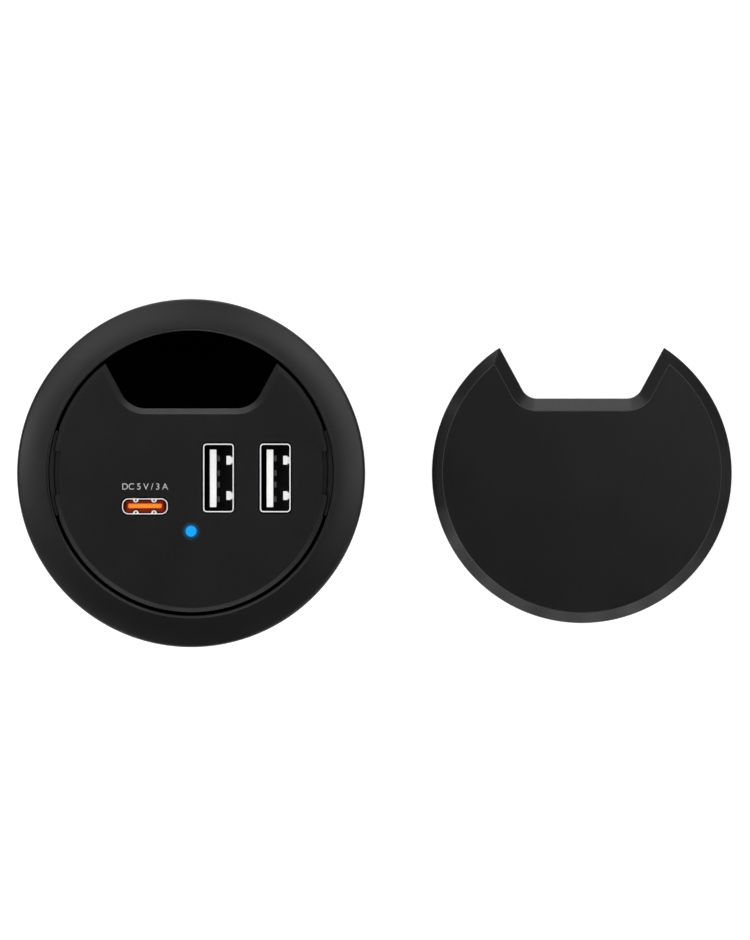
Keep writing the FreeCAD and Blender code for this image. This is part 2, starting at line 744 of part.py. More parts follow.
# Tube under the panel, with screw columns and the two spring arms
def module_housing():
    piece = body("module_housing")
    outline = sketch(piece, "housing_outline", "XY_Plane", BASE_TOP)
    notched_disc(outline, "(0 - housing_step)")
    pad(piece, outline, "%s - %s" % (PANEL_BOTTOM, BASE_TOP))
    hollow = sketch(piece, "housing_hollow", "XY_Plane", PANEL_BOTTOM)
    notched_disc(hollow, "(0 - housing_step - housing_wall)")
    pocket(piece, hollow, "2 * sleeve_length")
    columns = sketch(piece, "columns", "XY_Plane", BASE_TOP)
    circles_at(columns, COLUMNS, "column_radius")
    pad(piece, columns, "%s - %s" % (POWER_BOARD_BOTTOM, BASE_TOP))
    for name, level, upward in (("base_holes", BASE_TOP, True),
                                ("board_holes", POWER_BOARD_BOTTOM, False)):
        holes = sketch(piece, name, "XY_Plane", level)
        circles_at(holes, COLUMNS, "screw_radius + screw_fit")
        pocket(piece, holes, "screw_length", upward=upward)
    arm_outer = "bore_radius - arm_clearance"
    arm_inner = "%s + arm_clearance" % ARM_RADIUS
    wall_outer = "bore_radius - module_gap - housing_step"
    arms = sketch(piece, "arms", "XY_Plane", "0 - arm_root_level")
    pads = sketch(piece, "arm_pads", "XY_Plane", "ridge_height - arm_drop")
    roots = sketch(piece, "arm_roots", "XY_Plane", "0 - arm_root_level")
    hooks = sketch(piece, "arm_hooks", "XY_Plane",
                   "0 - snap_groove_level - (snap_groove_width - arm_hook_height) / 2")
    for side in (1, -1):
        sector(arms, arm_inner, arm_outer, "arm_half_angle", side)
        sector(pads, arm_inner + " - arm_pad_thick", arm_outer,
               "catch_half_angle - arm_pad_play", side)
        sector(roots, wall_outer + " - housing_wall / 2", arm_outer, "arm_half_angle", side)
        sector(hooks, arm_inner, arm_outer + " + arm_hook", "catch_half_angle", side)
    pad(piece, roots, "arm_root_height", downward=True)
    pad(piece, arms, "arm_root_level + ridge_height - arm_drop")
    pad(piece, pads, "panel_thick", downward=True)
    pad(piece, hooks, "arm_hook_height", downward=True)


# Plate that closes the housing and carries the inlet's nose
def base_plate():
    piece = body("base_plate")
    outline = sketch(piece, "base_outline", "XY_Plane", LIP_TOP)
    notched_disc(outline, "(0 - housing_step)")
    pad(piece, outline, "base_thick")
    holes = sketch(piece, "base_plate_holes", "XY_Plane", BASE_TOP)
    circles_at(holes, COLUMNS, "screw_radius + screw_hole_clearance")
    circle(holes, "jack_x", "jack_y", "jack_nose_radius + jack_nose_clearance")
    pocket(piece, holes, "2 * base_thick")
    sinks = sketch(piece, "base_plate_sinks", "XY_Plane", LIP_TOP)
    circles_at(sinks, COLUMNS, "screw_head_radius + screw_hole_clearance")
    pocket(piece, sinks, "screw_head_height", upward=True)


def screws(name, places, seat, head_up):
    """Screws with round heads, all alike, on a common seat."""
    piece = body(name)
    heads = sketch(piece, name + "_heads", "XY_Plane", seat)
    circles_at(heads, places, "screw_head_radius")
    pad(piece, heads, "screw_head_height", downward=not head_up)
    shanks = sketch(piece, name + "_shanks", "XY_Plane", seat)
    circles_at(shanks, places, "screw_radius")
    pad(piece, shanks, "screw_length", downward=head_up)
    top = "%s %s screw_head_height" % (seat, "+" if head_up else "-")
    recesses = sketch(piece, name + "_recesses", "XY_Plane", top)
    for across, up in places:
        rectangle(recesses, across, up, "screw_recess_width", "screw_recess_width")
    pocket(piece, recesses, "screw_recess_depth", upward=not head_up)


# Board that carries the receptacles and the light
def port_board():
    piece = body("port_board")
    outline = sketch(piece, "port_board_outline", "XY_Plane", PORT_BOARD_BOTTOM)
    notched_disc(outline, BOARD_GROW)
    circles_at(outline, POSTS, "screw_radius + screw_hole_clearance")
    pad(piece, outline, "board_thick")


# Board that carries the inlet and the converter
def power_board():
    piece = body("power_board")
    outline = sketch(piece, "power_board_outline", "XY_Plane", POWER_BOARD_BOTTOM)
    notched_disc(outline, BOARD_GROW)
    circles_at(outline, COLUMNS, "screw_radius + screw_hole_clearance")
    pad(piece, outline, "board_thick")


# One standing A receptacle: shell, springs, tongue with its block, and contacts
def usb_a_port(side, place):
    prefix = "usb_a_%s_" % side
    shell = body(prefix + "shell")
    outline = sketch(shell, prefix + "outline", "XY_Plane", PORT_BOARD_TOP)
    rectangle(outline, place, "usb_a_y", "usb_a_width", "usb_a_length")
    pad(shell, outline, "port_depth")
    soften(shell, "Fillet", edges_where(shell, upright), "usb_corner")
    hollow = sketch(shell, prefix + "hollow", "XY_Plane", PANEL_TOP)
    rectangle(hollow, place, "usb_a_y", "usb_a_width - 2 * usb_sheet",
              "usb_a_length - 2 * usb_sheet")
    pocket(shell, hollow, "2 * port_depth")

    tongue = body(prefix + "tongue")
    block = sketch(tongue, prefix + "block", "XY_Plane", PORT_BOARD_TOP)
    rectangle(block, place, "usb_a_y", "usb_a_width - 2 * usb_sheet",
              "usb_a_length - 2 * usb_sheet")
    pad(tongue, block, "block_height")
    blade = sketch(tongue, prefix + "blade", "XY_Plane", PORT_BOARD_TOP)
    blade_x = "(%s - usb_a_width / 2 + tongue_a_offset + tongue_a_thick / 2)" % place
    rectangle(blade, blade_x, "usb_a_y - tongue_a_shift", "tongue_a_thick", "tongue_a_length")
    pad(tongue, blade, "port_depth - tongue_a_recess")

    contacts = body(prefix + "contacts")
    strips = sketch(contacts, prefix + "strips", "XY_Plane", PORT_BOARD_TOP + " + block_height")
    for row in ("contact_a_outer", "contact_a_inner", "0 - contact_a_inner", "0 - contact_a_outer"):
        rectangle(strips, blade_x + " + tongue_a_thick / 2 + contact_a_thick / 2",
                  "usb_a_y - contact_a_shift + %s" % row, "contact_a_thick", "contact_a_width")
    pad(contacts, strips,
        "port_depth - block_height - tongue_a_recess - contact_a_recess")

    springs = body(prefix + "springs")
    wall_x = "(%s + usb_a_width / 2 - usb_sheet)" % place
    for name, row in (("upper", "spring_place"), ("lower", "0 - spring_place")):
        leaf = sketch(springs, prefix + name + "_spring", "XZ_Plane",
                      "0 - usb_a_y - (%s)" % row)
        top = PANEL_TOP + " - spring_top"
        polygon(leaf, [
            (wall_x, top),
            (wall_x + " - spring_reach", top + " - spring_length / 3"),
            (wall_x, top + " - spring_length"),
            (wall_x, top + " - spring_length + 2 * spring_thick"),
            (wall_x + " - spring_reach + spring_thick", top + " - spring_length / 3"),
            (wall_x, top + " - spring_thick"),
        ])
        pad_across(springs, leaf, "spring_width")


# Standing C receptacle: shell with its four bumps, tongue with its block, and contacts
def usb_c_port():
    shell = body("usb_c_shell")
    outline = sketch(shell, "usb_c_outline", "XY_Plane", PORT_BOARD_TOP)
    stadium(outline, "usb_c_x", "usb_c_y", "usb_c_length", "usb_c_width")
    pad(shell, outline, "port_depth")
    hollow = sketch(shell, "usb_c_hollow", "XY_Plane", PANEL_TOP)
    stadium(hollow, "usb_c_x", "usb_c_y", "usb_c_length - 2 * usb_sheet",
            "usb_c_width - 2 * usb_sheet")
    pocket(shell, hollow, "2 * port_depth")
    bumps = sketch(shell, "usb_c_bumps", "XY_Plane", PANEL_TOP + " - bump_recess")
    for turn in (1, -1):
        for side in (1, -1):
            circle(bumps, "usb_c_x + %d * bump_place" % side,
                   "usb_c_y + %d * (usb_c_width / 2 - usb_sheet)" % turn, "bump_radius")
    pad(shell, bumps, "bump_length", downward=True)
    dents = sketch(shell, "usb_c_dents", "XY_Plane", PANEL_TOP)
    for turn in (1, -1):
        for side in (1, -1):
            circle(dents, "usb_c_x + %d * bump_place" % side,
                   "usb_c_y + %d * (usb_c_width / 2 - bump_hole_inset)" % turn,
                   "bump_hole_radius")
    pocket(shell, dents, "bump_recess + bump_length")
    trim = sketch(shell, "usb_c_trim", "XY_Plane", PANEL_TOP + " - bump_recess")
    stadium(trim, "usb_c_x", "usb_c_y", "usb_c_length + 4 * bump_radius",
            "usb_c_width + 4 * bump_radius")
    stadium(trim, "usb_c_x", "usb_c_y", "usb_c_length", "usb_c_width")
    pocket(shell, trim, "bump_length")

    tongue = body("usb_c_tongue")
    block = sketch(tongue, "usb_c_block", "XY_Plane", PORT_BOARD_TOP)
    stadium(block, "usb_c_x", "usb_c_y", "usb_c_length - 2 * usb_sheet",
            "usb_c_width - 2 * usb_sheet")
    pad(tongue, block, "block_c_height")
    blade = sketch(tongue, "usb_c_blade", "XY_Plane", PORT_BOARD_TOP)
    rectangle(blade, "usb_c_x", "usb_c_y", "tongue_c_length", "tongue_c_thick")
    pad(tongue, blade, "port_depth - tongue_c_recess")

    contacts = body("usb_c_contacts")
    strips = sketch(contacts, "usb_c_strips", "XY_Plane",
                    PANEL_TOP + " - tongue_c_recess - contact_c_recess")
    first = "usb_c_x - (contact_c_count - 1) / 2 * contact_c_pitch"
    for turn in (1, -1):
        rectangle(strips, first,
                  "usb_c_y + %d * (tongue_c_thick + contact_c_thick) / 2" % turn,
                  "contact_c_width", "contact_c_thick")
    row = pad(contacts, strips,
              "port_depth - block_c_height - tongue_c_recess - contact_c_recess", downward=True)
    pattern = contacts.newObject("PartDesign::LinearPattern", "usb_c_rows")
    pattern.Originals = [row]
    pattern.Direction = (strips, ["H_Axis"])
    bind(pattern, "Length", "(contact_c_count - 1) * contact_c_pitch")
    bind(pattern, "Occurrences", "contact_c_count")
    contacts.Tip = pattern
    doc.recompute()


# Clear rod that carries the light from the board up to the panel
def light_pipe():
    piece = body("light_pipe")
    rod = sketch(piece, "light_rod", "XY_Plane", PORT_BOARD_TOP + " + led_height + light_gap")
    circle(rod, "0", "light_y", "light_radius")
    pad(piece, rod, "port_depth - led_height - light_gap")
    collar = sketch(piece, "light_collar", "XY_Plane", PANEL_BOTTOM)
    circle(collar, "0", "light_y", "light_radius + light_flange")
    pad(piece, collar, "light_flange_thick", downward=True)


def status_led():
    piece = body("status_led")
    outline = sketch(piece, "led_outline", "XY_Plane", PORT_BOARD_TOP)
    rectangle(outline, "0", "light_y", "led_length", "led_width")
    pad(piece, outline, "led_height")


# Converter parts on the power board
def power_inductor():
    piece = body("power_inductor")
    outline = sketch(piece, "inductor_outline", "XY_Plane", POWER_BOARD_TOP)
    rectangle(outline, "inductor_x", "inductor_y", "inductor_side", "inductor_side")
    pad(piece, outline, "inductor_height")
    soften(piece, "Chamfer", edges_where(piece, upright), "inductor_round")


def smoothing_capacitors():
    piece = body("smoothing_capacitors")
    places = [("0 - capacitor_spread", "capacitor_near_y"), ("0", "capacitor_far_y"),
              ("capacitor_spread", "capacitor_near_y")]
    feet = sketch(piece, "capacitor_feet", "XY_Plane", POWER_BOARD_TOP)
    for across, up in places:
        rectangle(feet, across, up, "2 * capacitor_radius", "2 * capacitor_radius")
    pad(piece, feet, "capacitor_foot")
    cans = sketch(piece, "capacitor_cans", "XY_Plane", POWER_BOARD_TOP)
    circles_at(cans, places, "capacitor_radius")
    pad(piece, cans, "%s - %s - capacitor_headroom" % (PORT_BOARD_BOTTOM, POWER_BOARD_TOP))


def control_chips():
    piece = body("control_chips")
    outline = sketch(piece, "chip_outline", "XY_Plane", POWER_BOARD_TOP)
    for row in ("chip_high_y", "chip_low_y"):
        rectangle(outline, "chip_x", row, "chip_side", "chip_side")
    pad(piece, outline, "chip_height")


def small_parts():
    piece = body("small_parts")
    outline = sketch(piece, "small_part_outline", "XY_Plane", POWER_BOARD_TOP)
    rectangle(outline, "small_part_x", "small_part_y", "small_part_width", "small_part_length")
    row = pad(piece, outline, "small_part_height")
    pattern = piece.newObject("PartDesign::LinearPattern", "small_part_row")
    pattern.Originals = [row]
    pattern.Direction = (outline, ["H_Axis"])
    bind(pattern, "Length", "(small_part_count - 1) * small_part_pitch")
    bind(pattern, "Occurrences", "small_part_count")
    piece.Tip = pattern
    doc.recompute()


# Pin header that joins the two boards
def board_header():
    piece = body("board_header")
    height = "%s - %s" % (PORT_BOARD_BOTTOM, POWER_BOARD_TOP)
    length = "header_rows * header_pitch"
    block = sketch(piece, "header_block_outline", "XY_Plane", POWER_BOARD_TOP)
    rectangle(block, "header_x", "header_y", "2 * header_pitch", length)
    pad(piece, block, "header_block")
    pins = sketch(piece, "header_pins", "XY_Plane", POWER_BOARD_TOP)
    for side in (1, -1):
        for row in (-2, -1, 0, 1, 2):
            rectangle(pins, "header_x + %d * header_pitch / 2" % side,
                      "header_y + %d * header_pitch * header_rows / 5" % row,
                      "header_pin", "header_pin")
    pad(piece, pins, height)


# Power inlet: moulded body, centre pin and side spring
def dc_inlet():
    piece = body("dc_inlet_body")
    block = sketch(piece, "jack_block", "XY_Plane", BASE_TOP)
    rectangle(block, "jack_x", "jack_y", "jack_width", "jack_length")
    pad(piece, block, "%s - %s" % (POWER_BOARD_BOTTOM, BASE_TOP))
    nose = sketch(piece, "jack_nose", "XY_Plane", LIP_TOP + " + jack_recess")
    circle(nose, "jack_x", "jack_y", "jack_nose_radius")
    pad(piece, nose, "jack_height - 1")
    bore = sketch(piece, "jack_bore", "XY_Plane", LIP_TOP + " + jack_recess")
    circle(bore, "jack_x", "jack_y", "jack_bore_radius")
    pocket(piece, bore, "jack_bore_depth", upward=True)

    centre = body("dc_inlet_pin")
    rod = sketch(centre, "jack_pin", "XY_Plane",
                 LIP_TOP + " + jack_recess + jack_bore_depth")
    circle(rod, "jack_x", "jack_y", "jack_pin_radius")
    pad(centre, rod, "jack_bore_depth - jack_pin_inset", downward=True)

    spring = body("dc_inlet_spring")
    leaf = sketch(spring, "jack_spring", "XZ_Plane", "0 - jack_y")
    wall_x = "(jack_x + sqrt(jack_bore_radius * jack_bore_radius"
    wall_x += " - jack_spring_width * jack_spring_width / 4))"
    low = LIP_TOP + " + jack_recess + jack_spring_inset"
    polygon(leaf, [
        (wall_x, low),
        (wall_x, low + " + jack_spring_length"),
        (wall_x + " - jack_spring_thick", low + " + jack_spring_length"),
        (wall_x + " - jack_spring_reach - jack_spring_thick", low + " + jack_spring_length / 3"),
        (wall_x + " - jack_spring_thick", low),
    ])
    pad_across(spring, leaf, "jack_spring_width")


# Shallow cap, modelled about its own centre and then laid beside the charger
def cover():
    piece = body("cover")
    height = "(cover_top + cover_headroom + panel_rise)"
    outline = sketch(piece, "cover_outline")
    notched_disc(outline, "(cover_gap + cover_wall)", "(cover_gap + cover_notch_wall)")
    pad(piece, outline, height)
    soften(piece, "Chamfer", edges_where(piece, along_notch(value(height))),
           "cover_notch_bevel", "cover_bevel_height")
    bevel_rim(piece, PANEL_RADIUS + " + cover_gap + cover_wall", height,
              "cover_bevel_width", "cover_bevel_height")
    hollow = sketch(piece, "cover_hollow")
    notched_disc(hollow, "cover_gap")
    pocket(piece, hollow, "cover_headroom + panel_rise", upward=True)
    lugs = sketch(piece, "cover_lugs")
    for side in (1, -1):
        sector(lugs, ARM_RADIUS + " - lug_play - lug_thick", ARM_RADIUS + " - lug_play",
               "catch_half_angle - lug_side_clearance", side)
    pad(piece, lugs, "cover_headroom + panel_rise")
    bind(piece, "Placement.Base.x", "cover_x")
    bind(piece, "Placement.Base.z", "0 - sleeve_length")
    doc.recompute()


desk_sleeve()
pressure_washer()
clamp_nut()
port_panel()
module_housing()
base_plate()
screws("base_screws", COLUMNS, LIP_TOP + " + screw_head_height", head_up=False)
port_board()
screws("port_board_screws", POSTS, PORT_BOARD_BOTTOM, head_up=False)
power_board()
screws("power_board_screws", COLUMNS, POWER_BOARD_TOP, head_up=True)
for port_side, port_place in usb_a_places():
    usb_a_port(port_side, port_place)
usb_c_port()
light_pipe()
status_led()
power_inductor()
smoothing_capacitors()
control_chips()
small_parts()
board_header()
dc_inlet()
cover()

doc.recompute()
for thing in doc.Objects:
    if "Invalid" in thing.State or "Error" in thing.State:
        raise RuntimeError("%s failed: %s" % (thing.Name, thing.State))
os.makedirs("parts", exist_ok=True)
for piece in PIECES:
    if piece.Shape.isNull() or not piece.Shape.isValid():
        raise RuntimeError(piece.Label + " has no valid shape")
    piece.Shape.exportStep("parts/%s.step" % piece.Label)
    print("%-26s %d solid(s) %10.2f mm3" % (piece.Label, len(piece.Shape.Solids), piece.Shape.Volume))
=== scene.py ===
import math

import bmesh
import bpy
from mathutils import Matrix, Vector


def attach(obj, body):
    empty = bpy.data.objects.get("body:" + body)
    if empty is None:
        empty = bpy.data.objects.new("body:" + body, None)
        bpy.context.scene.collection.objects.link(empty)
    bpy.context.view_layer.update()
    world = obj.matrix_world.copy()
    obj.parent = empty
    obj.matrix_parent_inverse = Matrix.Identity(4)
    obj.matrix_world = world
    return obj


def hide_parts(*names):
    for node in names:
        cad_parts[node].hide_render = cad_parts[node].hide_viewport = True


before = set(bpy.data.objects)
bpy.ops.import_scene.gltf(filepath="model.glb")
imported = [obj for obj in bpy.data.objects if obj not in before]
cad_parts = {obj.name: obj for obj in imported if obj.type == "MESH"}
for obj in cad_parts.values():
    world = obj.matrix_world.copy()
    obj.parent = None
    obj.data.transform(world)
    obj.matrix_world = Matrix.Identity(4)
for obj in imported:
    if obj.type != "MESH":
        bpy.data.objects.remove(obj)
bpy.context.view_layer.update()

# The sizes are in millimetres, and each finished piece is brought to metres at the end.
# The origin is on the sleeve's axis, in the desk's surface. +Y is the side of the cable outlet.
# A cutter runs 1 mm past what it cuts.
MM = 0.001
TURN = 2 * math.pi
RING_STEPS = 256
SECTOR_STEPS = 24
THREAD_STEPS = 91
# The bevel tool's profile that comes nearest to a circle's arc
ARC = 0.534
FLOOR = -40.0

BORE = 27.0
THREAD_ROOT = 28.8
THREAD_CREST = 29.6
NECK = 29.75
NECK_FOOT = -8.0
FLANGE = 33.0
LEDGE = 24.6
LIP_TOP = -38.6
PITCH = 3.0
PANEL_TOP = 3.19
PANEL_BOTTOM = 1.2
PANEL_RADIUS = 26.4
PANEL_BEVEL = (0.86, 0.58)
NOTCH_BEVEL = (1.14, 0.75)
NOTCH_FLOOR = 12.28
NOTCH_HALF = 11.62
NOTCH_LEAN = math.radians(28.4)
NOTCH_ROUND = 5.1
NOTCH_REACH = 26.0
HOUSING_GAP = 0.5
PORT_BOARD_TOP = -11.5
POWER_BOARD_BOTTOM = -24.2
BASE_TOP = -36.6
WASHER_TOP = -19.4
WASHER_BOTTOM = -21.4
NUT_BOTTOM = -29.4
COVER_X = 74.35
USB_A_Y = -0.91
USB_A_PLACES = {"left": 5.2, "right": 15.96}
USB_A_OPENING = (6.43, 13.62, 1.0)
USB_C_PLACE = (-8.73, -6.3)
USB_C_OPENING = (9.24, 3.62, 1.51)
DENT_REACH = 1.72
DENT_RISE = 1.29
LIGHT_Y = -11.0
LIGHT_RADIUS = 1.0
JACK_Y = -3.0
JACK_BORE = 2.8
JACK_BORE_END = -28.7
SCREW_HOLE = 1.13
SCREW_REACH = 5.6
SCREW_SEAT = LIP_TOP + 1.3
WINDOW_HALF_ANGLE = math.radians(18.2)
CATCH_HALF_ANGLE = math.radians(9.3)


def deselect():
    bpy.ops.object.select_all(action="DESELECT")


def solo(piece):
    """Make one object the only one that is selected, and the active one."""
    deselect()
    piece.select_set(True)
    bpy.context.view_layer.objects.active = piece


def edit(piece):
    """Enter edit mode with nothing selected."""
    solo(piece)
    bpy.ops.object.mode_set(mode="EDIT")
    bpy.ops.mesh.select_all(action="DESELECT")


def leave(name=None):
    """End edit mode and name the active object."""
    bpy.ops.object.mode_set(mode="OBJECT")
    piece = bpy.context.object
    if name:
        piece.name = piece.data.name = name
    return piece


def pick(test, kind="FACE"):
    """In edit mode, select each face or vertex that passes a test on its middle and itself."""
    piece = bpy.context.object
    bpy.ops.mesh.select_mode(type=kind)
    bpy.ops.mesh.select_all(action="DESELECT")
    mesh = bmesh.from_edit_mesh(piece.data)
    for part in mesh.faces if kind == "FACE" else mesh.verts:
        middle = part.calc_center_median() if kind == "FACE" else part.co
        if test(piece.matrix_world @ middle, part):
            part.select_set(True)
    mesh.select_flush_mode()
    bmesh.update_edit_mesh(piece.data)


def assign(test, place):
    """Give the faces that pass a test a material slot."""
    piece = bpy.context.object
    while len(piece.data.materials) <= place:
        piece.data.materials.append(None)
    pick(test)
    piece.active_material_index = place
    bpy.ops.object.material_slot_assign()


def tidy_normals():
    """In edit mode, merge doubles and turn all faces outward."""
    bpy.ops.mesh.select_mode(type="VERT")
    bpy.ops.mesh.select_all(action="SELECT")
    bpy.ops.mesh.remove_doubles(threshold=0.0005)
    bpy.ops.mesh.normals_make_consistent(inside=False)


def modify(piece, kind, **settings):
    """Add a modifier with its settings and apply it."""
    solo(piece)
    added = piece.modifiers.new(kind.lower(), kind)
    for key, setting in settings.items():
        setattr(added, key, setting)
    bpy.ops.object.modifier_apply(modifier=added.name)


def combine(piece, tool, how="DIFFERENCE"):
    """Cut one solid with another, or join them, and drop the other."""
    modify(piece, "BOOLEAN", object=tool, operation=how, solver="EXACT")
    bpy.data.objects.remove(tool)
    return piece


def join(*group):
    """Join objects into the first."""
    solo(group[0])
    for piece in group:
        piece.select_set(True)
    bpy.ops.object.join()
    return group[0]


def twin(piece):
    """A copy with its own mesh."""
    made = piece.copy()
    made.data = piece.data.copy()
    bpy.context.collection.objects.link(made)
    return made


def turned_about(piece, angle):
    """Turn an object about the charger's axis."""
    piece.matrix_world = Matrix.Rotation(angle, 4, "Z") @ piece.matrix_world
    return piece


def moved(piece, x=0, y=0, z=0):
    piece.matrix_world = Matrix.Translation((x, y, z)) @ piece.matrix_world
    return piece


def rounded(corners, steps=4):
    """Points of a closed outline from its corners (across, up, radius of the rounding)."""
    points = []
    for place, (across, up, radius) in enumerate(corners):
        here = Vector((across, up))
        if not radius:
            points.append(here)
            continue
        back = (Vector(corners[place - 1][:2]) - here).normalized()
        on = (Vector(corners[(place + 1) % len(corners)][:2]) - here).normalized()
        half = back.angle(on) / 2
        centre = here + (back + on).normalized() * radius / math.sin(half)
        first = here + back * radius / math.tan(half) - centre
        last = here + on * radius / math.tan(half) - centre
        spread = math.atan2(first.x * last.y - first.y * last.x, first.dot(last))
        for step in range(steps + 1):
            points.append(centre + Matrix.Rotation(spread * step / steps, 2) @ first)
    return points


def traced(points, upright=False):
    """An outline drawn by extruding a corner from point to point, filled with a face."""
    places = [Vector((a, 0, b)) if upright else Vector((a, b, 0)) for a, b in points]
    deselect()
    bpy.ops.mesh.primitive_plane_add(size=1, location=places[0], enter_editmode=True)
    bpy.ops.mesh.select_mode(type="VERT")
    bpy.ops.mesh.merge(type="CENTER")
    for before, after in zip(places, places[1:]):
        bpy.ops.mesh.extrude_region_move(TRANSFORM_OT_translate={"value": after - before})
    bpy.ops.mesh.select_all(action="SELECT")
    bpy.ops.mesh.edge_face_add()


def lathe(name, points):
    """A ring turned from a closed profile of (radius, level)."""
    traced(points, upright=True)
    bpy.ops.mesh.delete(type="ONLY_FACE")
    bpy.ops.mesh.select_all(action="SELECT")
    bpy.ops.mesh.spin(steps=RING_STEPS, angle=TURN, center=(0, 0, 0), axis=(0, 0, 1))
    tidy_normals()
    return leave(name)


def sector(name, points, middle, half_angle):
    """A piece of a ring, turned from a profile, about a middle angle."""
    traced(points, upright=True)
    bpy.ops.mesh.select_all(action="SELECT")
    bpy.ops.mesh.spin(steps=SECTOR_STEPS, angle=-2 * half_angle, center=(0, 0, 0),
                      axis=(0, 0, 1))
    tidy_normals()
    return turned_about(leave(name), middle - half_angle)


def ring_block(name, inner, outer, bottom, top, middle, half_angle, soft=0.0):
    """A straight-sided piece of a ring, its upper edges softened."""
    corners = [(inner, bottom, 0), (outer, bottom, 0), (outer, top, soft), (inner, top, soft)]
    return sector(name, rounded(corners, 3), middle, half_angle)


def raised(name, profile):
    """From the face in edit mode, build a solid through steps of (grow, level).

    The first level is the face's own.
    """
    bpy.ops.mesh.select_mode(type="FACE")
    bpy.ops.mesh.select_all(action="SELECT")
    # A first inset would take the solid's own end with it, so the end is doubled
    bpy.ops.mesh.extrude_region_move(TRANSFORM_OT_translate={"value": (0, 0, 0)})
    for (grow, level), (next_grow, next_level) in zip(profile, profile[1:]):
        rise = (0, 0, next_level - level)
        if abs(next_grow - grow) < 1e-6:
            bpy.ops.mesh.extrude_region_move(TRANSFORM_OT_translate={"value": rise})
        else:
            bpy.ops.mesh.inset(thickness=grow - next_grow)
            bpy.ops.transform.translate(value=rise)
    tidy_normals()
    return leave(name)


def disc(x, y, radius, level, steps=RING_STEPS):
    """A filled circle in edit mode."""
    deselect()
    bpy.ops.mesh.primitive_circle_add(vertices=steps, radius=radius, fill_type="NGON",
                                      location=(x, y, level), enter_editmode=True)


def plate(x, y, width, length, corner, level, steps=6):
    """A rectangle with round corners, in edit mode."""
    deselect()
    bpy.ops.mesh.primitive_plane_add(size=1, location=(x, y, level), enter_editmode=True)
    bpy.ops.mesh.select_mode(type="VERT")
    bpy.ops.transform.resize(value=(width, length, 1), center_override=(x, y, level))
    if corner:
        bpy.ops.mesh.bevel(offset=corner, segments=steps, affect="VERTICES")


def edge_profile(top, bottom, soft, bevel=0.0, height=0.0, rim=0.0):
    """The profile (grow, level) of a cutter that leaves a bevelled or softened edge.

    It starts above the top, where it is widest, and runs down to the bottom. soft rounds
    the edge at the top, and rim the foot of the bevel.
    """
    if bevel:
        corners = [(bevel + 4 * soft, top, 0), (bevel, top, soft), (0, top - height, rim),
                   (0, bottom, 0)]
    else:
        corners = [(4 * soft, top, 0), (0, top, soft), (0, bottom, 0)]
    points = [tuple(point) for point in rounded(corners, steps=3)[1:]]
    return [(points[0][0], top + 1)] + points


def upward(profile):
    """A cutter's profile turned into that of a solid, from its foot to its top."""
    return [(-grow, level) for grow, level in reversed(profile[1:])]


def notch_cutter(name, grow, profile):
    """The flared cable notch as a solid. grow widens it, profile gives its edge."""
    widest = grow + profile[0][0]
    lean_sin, lean_cos = math.sin(NOTCH_LEAN), math.cos(NOTCH_LEAN)
    reach = NOTCH_HALF * lean_cos - NOTCH_FLOOR * lean_sin + widest
    low = NOTCH_FLOOR - widest
    high = low + NOTCH_REACH
    corners = [(side * (reach + up * lean_sin) / lean_cos, up)
               for side, up in ((-1, low), (1, low), (1, high), (-1, high))]
    traced(corners)
    pick(lambda spot, corner: spot.y < low + 1, "VERT")
    tangent = (NOTCH_ROUND + widest) / math.tan(math.pi / 4 + NOTCH_LEAN / 2)
    bpy.ops.mesh.bevel(offset=tangent, segments=10, affect="VERTICES", profile=ARC)
    bpy.ops.mesh.select_all(action="SELECT")
    bpy.ops.transform.translate(value=(0, 0, profile[0][1]))
    return raised(name, profile)


def notched_block(name, grow, bottom, top):
    """The panel's outline as a plain solid, grown outward."""
    disc(0, 0, PANEL_RADIUS + grow, bottom)
    block = raised(name, [(0, bottom), (0, top)])
    return combine(block, notch_cutter("notch", -grow, [(0, top + 1), (0, bottom - 1)]))


def screw_thread(section, level, turns):
    """A thread: a section of (radius, rise) carried up a right-handed helix.

    The corners of its crest are rounded. Its root lies inside the wall that it joins.
    """
    soft = [(a, b, 0.12 if abs(b) < 0.6 else 0) for a, b in section]
    traced([(a, b + level) for a, b in rounded(soft, 3)], upright=True)
    bpy.ops.mesh.delete(type="ONLY_FACE")
    thread = leave("thread")
    solo(thread)
    bpy.context.scene.cursor.location = (0, 0, 0)
    bpy.ops.object.origin_set(type="ORIGIN_CURSOR")
    steps = int(THREAD_STEPS * turns)
    modify(thread, "SCREW", angle=TURN * turns, screw_offset=PITCH * turns, iterations=1,
           steps=steps, render_steps=steps, use_merge_vertices=False)
    edit(thread)
    bpy.ops.mesh.select_mode(type="EDGE")
    bpy.ops.mesh.select_non_manifold()
    bpy.ops.mesh.edge_face_add()
    tidy_normals()
    return leave("thread")


def smoothed(piece):
    """Shade smooth up to an angle, with normals weighted so that large flats stay flat."""
    solo(piece)
    bpy.ops.object.shade_smooth_by_angle(angle=math.radians(30))
    modify(piece, "WEIGHTED_NORMAL", mode="FACE_AREA", weight=100, keep_sharp=True,
           thresh=0.01)


def finished(piece, name, finishes, body="charger", replaces=None):
    """Bring a piece to metres at the origin and give it its name, finish and body."""
    piece.name = piece.data.name = name
    smoothed(piece)
    piece.matrix_world = Matrix.Scale(MM, 4) @ piece.matrix_world
    solo(piece)
    bpy.ops.object.transform_apply(location=True, rotation=True, scale=True)
    if not isinstance(finishes, (list, tuple)):
        finishes = [finishes]
    while len(piece.data.materials) < len(finishes):
        piece.data.materials.append(None)
    for place, finish in enumerate(finishes):
        piece.data.materials[place] = finish
    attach(piece, body)
    if replaces:
        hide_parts(replaces)


